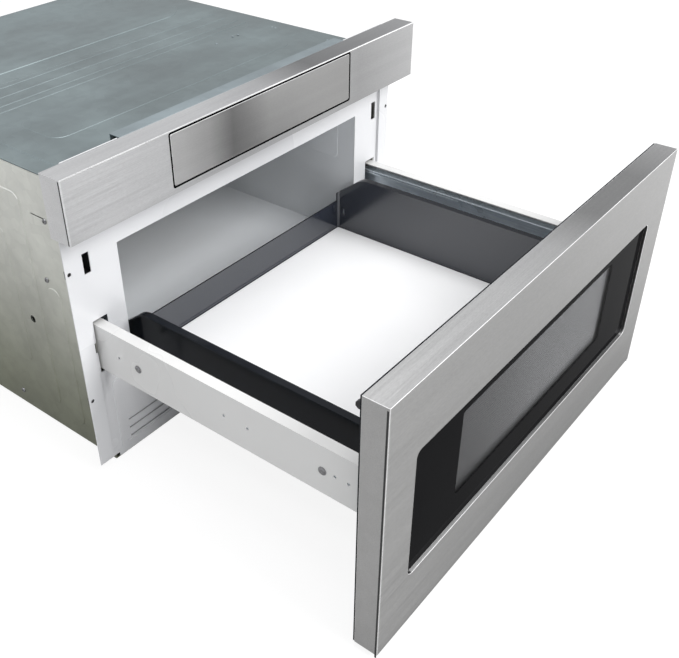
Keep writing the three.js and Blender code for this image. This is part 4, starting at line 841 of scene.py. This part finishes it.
def flange_hole_shadows(side, sign):
    """Painted shadow: a black block sits behind each of the flange's mounting holes, so that the
    hole reads dark.
    """
    x = on_side(sign, FLANGE_SHADOW_X)
    for index, hole in enumerate(FLANGE_HOLES):
        z = (hole - FLANGE_SHADOW_HALF, hole + FLANGE_SHADOW_HALF)
        name = f"{side}_flange_hole_shadow_{index}"
        slab(name, x, FLANGE_SHADOW_Y, z, "casing", black, "black_plastic")


def tray_clip(side, sign):
    """A bright clip on the tray's shoulder."""
    x = on_side(sign, TRAY_CLIP_X)
    slab(f"{side}_tray_clip", x, TRAY_CLIP_Y, TRAY_CLIP_Z, "drawer", zinc, "zinc")


def panel_painted_highlight():
    """A painted highlight: a near-white strip along the panel's upper front edge stands in for the
    line of light there.
    """
    half = HALF_WIDTH - BRIGHT_EDGE_INSET
    top = span("control_panel_trim", "Z")[1]
    y = (-PROUD, BRIGHT_EDGE_BACK)
    z = (top - BRIGHT_EDGE_HEIGHT, top + PROUD)
    slab("panel_painted_highlight", (-half, half), y, z, "casing", edge_polish_and_highlight, "stainless")


# ------------------------------------------------------------------ key digits

DIGIT_SIZE = 12
DIGIT_THICKNESS = 0.04  # to each side of its middle
KEYS_IN_ROW = 5
FIRST_KEY_X = 20
FIRST_KEY_Z = 380
KEY_PITCH = 26
KEY_DROP = 20  # from one row to the next


def key_digit(text, x, z):
    """A digit on the touch glass; it reads upright once the flap is folded out."""
    curve = bpy.data.curves.new("digit_" + text, "FONT")
    curve.body = text
    curve.size = DIGIT_SIZE * MM
    curve.extrude = DIGIT_THICKNESS * MM
    curve.resolution_u = 3
    curve.align_x = "CENTER"
    curve.align_y = "CENTER"
    text_object = new_object("text_" + text, curve)
    mesh = evaluated_mesh(text_object)
    bpy.data.objects.remove(text_object)
    glass_back = span("touch_control_glass", "Y")[1] - FRONT_Y
    # the text's top turns down towards the hinge and its face to the back
    turn = Matrix(((1, 0, 0), (0, 0, 1), (0, -1, 0))).to_4x4()
    mesh.transform(Matrix.Translation(at(x, glass_back + PROUD, z)) @ turn)
    settle(new_object("key_digit_" + text, mesh), white_print, "flap")


def key_digits():
    """Two rows of plain digits."""
    for index, text in enumerate("1234567890"):
        row, column = divmod(index, KEYS_IN_ROW)
        key_digit(text, FIRST_KEY_X + KEY_PITCH * column, FIRST_KEY_Z - KEY_DROP * row)


# ------------------------------------------------------------------ window border and flap seal

BORDER_HALF = 260
BORDER_Z = (75, 246)
BORDER_CORNER = 10
BORDER_COVER = 6  # how far the border covers the screen's rim
BORDER_GAP = 0.06  # before the glass
BORDER_DEPTH = 0.18
CLEAR_CORNER = 4
SEAL_GAP = 0.3  # round the flap
SEAL_WIDTH = 2.5
SEAL_BOTTOM = 338.5  # leaves room for the flap's lower edge as it tilts
SEAL_BOTTOM_WIDTH = 1.0
SEAL_CORNER = 1.2
SEAL_Y = 0.2
SEAL_DEPTH = 1.0
ARC_STEPS = 6


def rounded_loop(half, low, high, radius):
    """A rounded rectangle's points (x, z), symmetrical about the middle."""
    side = half - radius
    bottom = low + radius
    top = high - radius
    corners = ((side, bottom, -90), (side, top, 0), (-side, top, 90), (-side, bottom, 180))
    points = []
    for x, z, start in corners:
        for k in range(ARC_STEPS + 1):
            angle = math.radians(start + 90 * k / ARC_STEPS)
            points.append((x + radius * math.cos(angle), z + radius * math.sin(angle)))
    return points


def ring_plate(name, outer, inner, y, depth):
    """A flat ring between two loops with the same number of points."""
    bm = bmesh.new()
    loops = []
    for loop in (outer, inner):
        for level in (y, y + depth):
            loops.append([bm.verts.new(at(x, level, z)) for x, z in loop])
    front_outer, back_outer, front_inner, back_inner = loops
    count = len(outer)
    for k in range(count):
        n = (k + 1) % count
        bm.faces.new((front_outer[k], front_outer[n], front_inner[n], front_inner[k]))
        bm.faces.new((back_outer[n], back_outer[k], back_inner[k], back_inner[n]))
        bm.faces.new((front_outer[n], front_outer[k], back_outer[k], back_outer[n]))
        bm.faces.new((front_inner[k], front_inner[n], back_inner[n], back_inner[k]))
    bmesh.ops.recalc_face_normals(bm, faces=bm.faces)
    return from_bmesh(name, bm)


def window_border():
    """The black border on the front of the outer glass, round the clear window."""
    half = span("window_screen", "X")[1] - BORDER_COVER
    low, high = span("window_screen", "Z")
    clear = rounded_loop(half, low + BORDER_COVER, high - BORDER_COVER, CLEAR_CORNER)
    outline = rounded_loop(BORDER_HALF, *BORDER_Z, BORDER_CORNER)
    glass_front = span("outer_window_glass", "Y")[0] - FRONT_Y
    y = glass_front - BORDER_GAP - BORDER_DEPTH
    border = ring_plate("window_border", outline, clear, y, BORDER_DEPTH)
    settle(border, ink, "drawer")


def flap_seal():
    """A black seal round the flap's opening."""
    half = span("control_flap", "X")[1] + SEAL_GAP
    top = span("control_flap", "Z")[1] + SEAL_GAP
    bottom = SEAL_BOTTOM - SEAL_BOTTOM_WIDTH
    inner = rounded_loop(half, SEAL_BOTTOM, top, SEAL_CORNER)
    outer = rounded_loop(half + SEAL_WIDTH, bottom, top + SEAL_WIDTH, SEAL_CORNER)
    seal = ring_plate("flap_seal", outer, inner, SEAL_Y, SEAL_DEPTH)
    settle(seal, deep_black, "casing")


for side, sign in SIDES:
    channel_screws(side, sign)
    panel_screws(side, sign)
for side, sign in SIDES:
    corner_seams(side, sign)
    # painted shadow in the rail notch
    rail_notch_shadow(side, sign)
    # painted shadows behind the flange holes
    flange_hole_shadows(side, sign)
    tray_clip(side, sign)
# painted highlight along the panel's upper front edge
panel_painted_highlight()
top_rivets()
key_digits()
window_border()
flap_seal()


# ------------------------------------------------------------------ room, light and camera

FLOOR_REACH = 9.0
FLOOR_DROP = 0.0004  # keeps the floor clear of the base
OUTLINE_X = 0.3  # half the object's outline on the floor
OUTLINE_Y = 0.478
FLOOR_GLOW = 1.1
FLOOR_SHARE = 0.8  # how much of the seen floor is glow; the rest takes shadows
NEAR_GLOW = 0.42  # in reflections, close to the object
GLOW_RISE = 0.75  # times the root of the distance
GLOW_REACH = 0.7  # the root of the distance stops rising here
MIDDLE_GLOW = 0.95
GLOW_TILT = 0.3  # for each metre to the right
LAMP_AIM = (0, -0.1, 0.2)

CAMERA_PLACE = (-768.1324, -676.5512, 791.044)
CAMERA_TURN = (54.6575, 0.552, -51.3919)  # degrees: tilt, roll and heading
CAMERA_LENS = 48.798
CAMERA_SHIFT = (0.0467, -0.0040)
SENSOR_WIDTH = 36.0


def beyond(tree, distance, half):
    """How far a place is outside the object's outline along one axis."""
    outside = tree.compute("SUBTRACT", tree.compute("ABSOLUTE", distance), half)
    return tree.compute("MAXIMUM", outside, 0.0)


def mirrored_floor(tree):
    """In reflections the floor is duller close round the object, as under a wide lamp."""
    place = tree.split(tree.add("ShaderNodeNewGeometry").outputs["Position"])
    beyond_x = beyond(tree, place["X"], OUTLINE_X)
    beyond_y = beyond(tree, place["Y"], OUTLINE_Y)
    squared_y = tree.compute("MULTIPLY", beyond_y, beyond_y)
    squared = tree.compute("MULTIPLY_ADD", beyond_x, beyond_x, squared_y)
    root = tree.compute("MINIMUM", tree.compute("POWER", squared, 0.25), GLOW_REACH)
    risen = tree.compute("MULTIPLY_ADD", root, GLOW_RISE, NEAR_GLOW)
    tilted = tree.compute("MULTIPLY_ADD", place["X"], GLOW_TILT, MIDDLE_GLOW)
    return tree.compute("MULTIPLY", risen, tilted)


def floor_material():
    """Pale floor that reads nearly white, in reflections too, and keeps a soft shadow."""
    material = bpy.data.materials.new("pale_floor")
    tree = Wiring(material)
    output = tree.add("ShaderNodeOutputMaterial")
    diffuse = tree.add("ShaderNodeBsdfDiffuse", Color=(0.92, 0.92, 0.92, 1))
    glow = tree.add("ShaderNodeEmission")
    ray = tree.add("ShaderNodeLightPath").outputs
    apart = tree.compute("SUBTRACT", mirrored_floor(tree), FLOOR_GLOW)
    strength = tree.compute("MULTIPLY_ADD", apart, ray["Is Glossy Ray"], FLOOR_GLOW)
    tree.link(strength, glow.inputs["Strength"])
    direct = tree.compute("MAXIMUM", ray["Is Camera Ray"], ray["Is Transmission Ray"])
    seen = tree.compute("MULTIPLY", direct, FLOOR_SHARE)
    share = tree.compute("MAXIMUM", seen, ray["Is Glossy Ray"])
    blend = tree.add("ShaderNodeMixShader")
    for socket, source in zip(blend.inputs, (share, diffuse.outputs[0], glow.outputs[0])):
        tree.link(source, socket)
    tree.link(blend.outputs[0], output.inputs[0])
    material.cycles.emission_sampling = "NONE"
    return material


def stage_floor():
    """A square floor just below the object."""
    mesh = bpy.data.meshes.new("floor")
    square = ((-1, -1), (1, -1), (1, 1), (-1, 1))
    corners = [(x * FLOOR_REACH, y * FLOOR_REACH, 0) for x, y in square]
    mesh.from_pydata(corners, [], [(0, 1, 2, 3)])
    mesh.materials.append(floor_material())
    floor = new_object("floor", mesh)
    floor.location.z = -FLOOR_DROP


def mirrored_room(tree, heading):
    """In reflections the room is a wide lamp overhead that ends over the right side, a dull gap
    beyond it, then a pale wall, and a bright front."""
    height = tree.compute("MAXIMUM", heading["Z"], 0.05)
    slant = tree.compute("DIVIDE", heading["X"], height)
    lamp = tree.remap(slant, 1.02, 0.38, start=0.9, end=1.06)
    pale_wall = tree.remap(slant, 0.0, 0.28, start=1.15, end=1.4)
    bright_front = tree.remap(heading["Y"], 1.0, 0.0, start=-0.35, end=-0.15)
    return tree.compute("MAXIMUM", tree.compute("ADD", lamp, pale_wall), bright_front)


def studio():
    """Matt surfaces see a plain room, a little duller on the left. The camera sees white."""
    world = bpy.data.worlds.new("studio")
    scene.world = world
    tree = Wiring(world)
    output = tree.add("ShaderNodeOutputWorld")
    lit = tree.add("ShaderNodeBackground", Color=(0.97, 0.98, 1.0, 1))
    shown = tree.add("ShaderNodeBackground", Color=(1, 1, 1, 1), Strength=1.0)
    heading = tree.split(tree.add("ShaderNodeTexCoord").outputs["Generated"])
    ray = tree.add("ShaderNodeLightPath").outputs
    room = tree.remap(heading["X"], 0.38, 0.6, start=-0.9, end=0.2)
    apart = tree.compute("SUBTRACT", mirrored_room(tree, heading), room)
    strength = tree.compute("MULTIPLY_ADD", apart, ray["Is Glossy Ray"], room)
    tree.link(strength, lit.inputs["Strength"])
    choice = tree.add("ShaderNodeMixShader")
    sources = (ray["Is Camera Ray"], lit.outputs[0], shown.outputs[0])
    for socket, source in zip(choice.inputs, sources):
        tree.link(source, socket)
    tree.link(choice.outputs[0], output.inputs[0])
    world.cycles.sampling_method = "NONE"


def softbox(name, place, width, height, power):
    """A rectangular lamp that points at the object."""
    data = bpy.data.lights.new(name, "AREA")
    data.shape = "RECTANGLE"
    data.size = width
    data.size_y = height
    data.energy = power
    lamp = new_object(name, data)
    lamp.location = place
    direction = Vector(LAMP_AIM) - Vector(place)
    lamp.rotation_euler = direction.to_track_quat("-Z", "Y").to_euler()


def camera():
    """The camera stands where the photograph was taken from."""
    data = bpy.data.cameras.new("camera")
    data.sensor_fit = "HORIZONTAL"
    data.sensor_width = SENSOR_WIDTH
    data.lens = CAMERA_LENS
    data.shift_x, data.shift_y = CAMERA_SHIFT
    data.clip_end = 50.0
    turn = Euler([math.radians(angle) for angle in CAMERA_TURN]).to_matrix().to_4x4()
    scene.camera = new_object("camera", data)
    scene.camera.matrix_world = Matrix.Translation(at(*CAMERA_PLACE)) @ turn


stage_floor()
studio()
softbox("key", (0.5, -2.7, 2.4), width=2.2, height=1.6, power=90)
softbox("top", (0.0, -0.5, 3.0), width=2.2, height=2.2, power=44)
camera()
scene.view_settings.view_transform = "Standard"
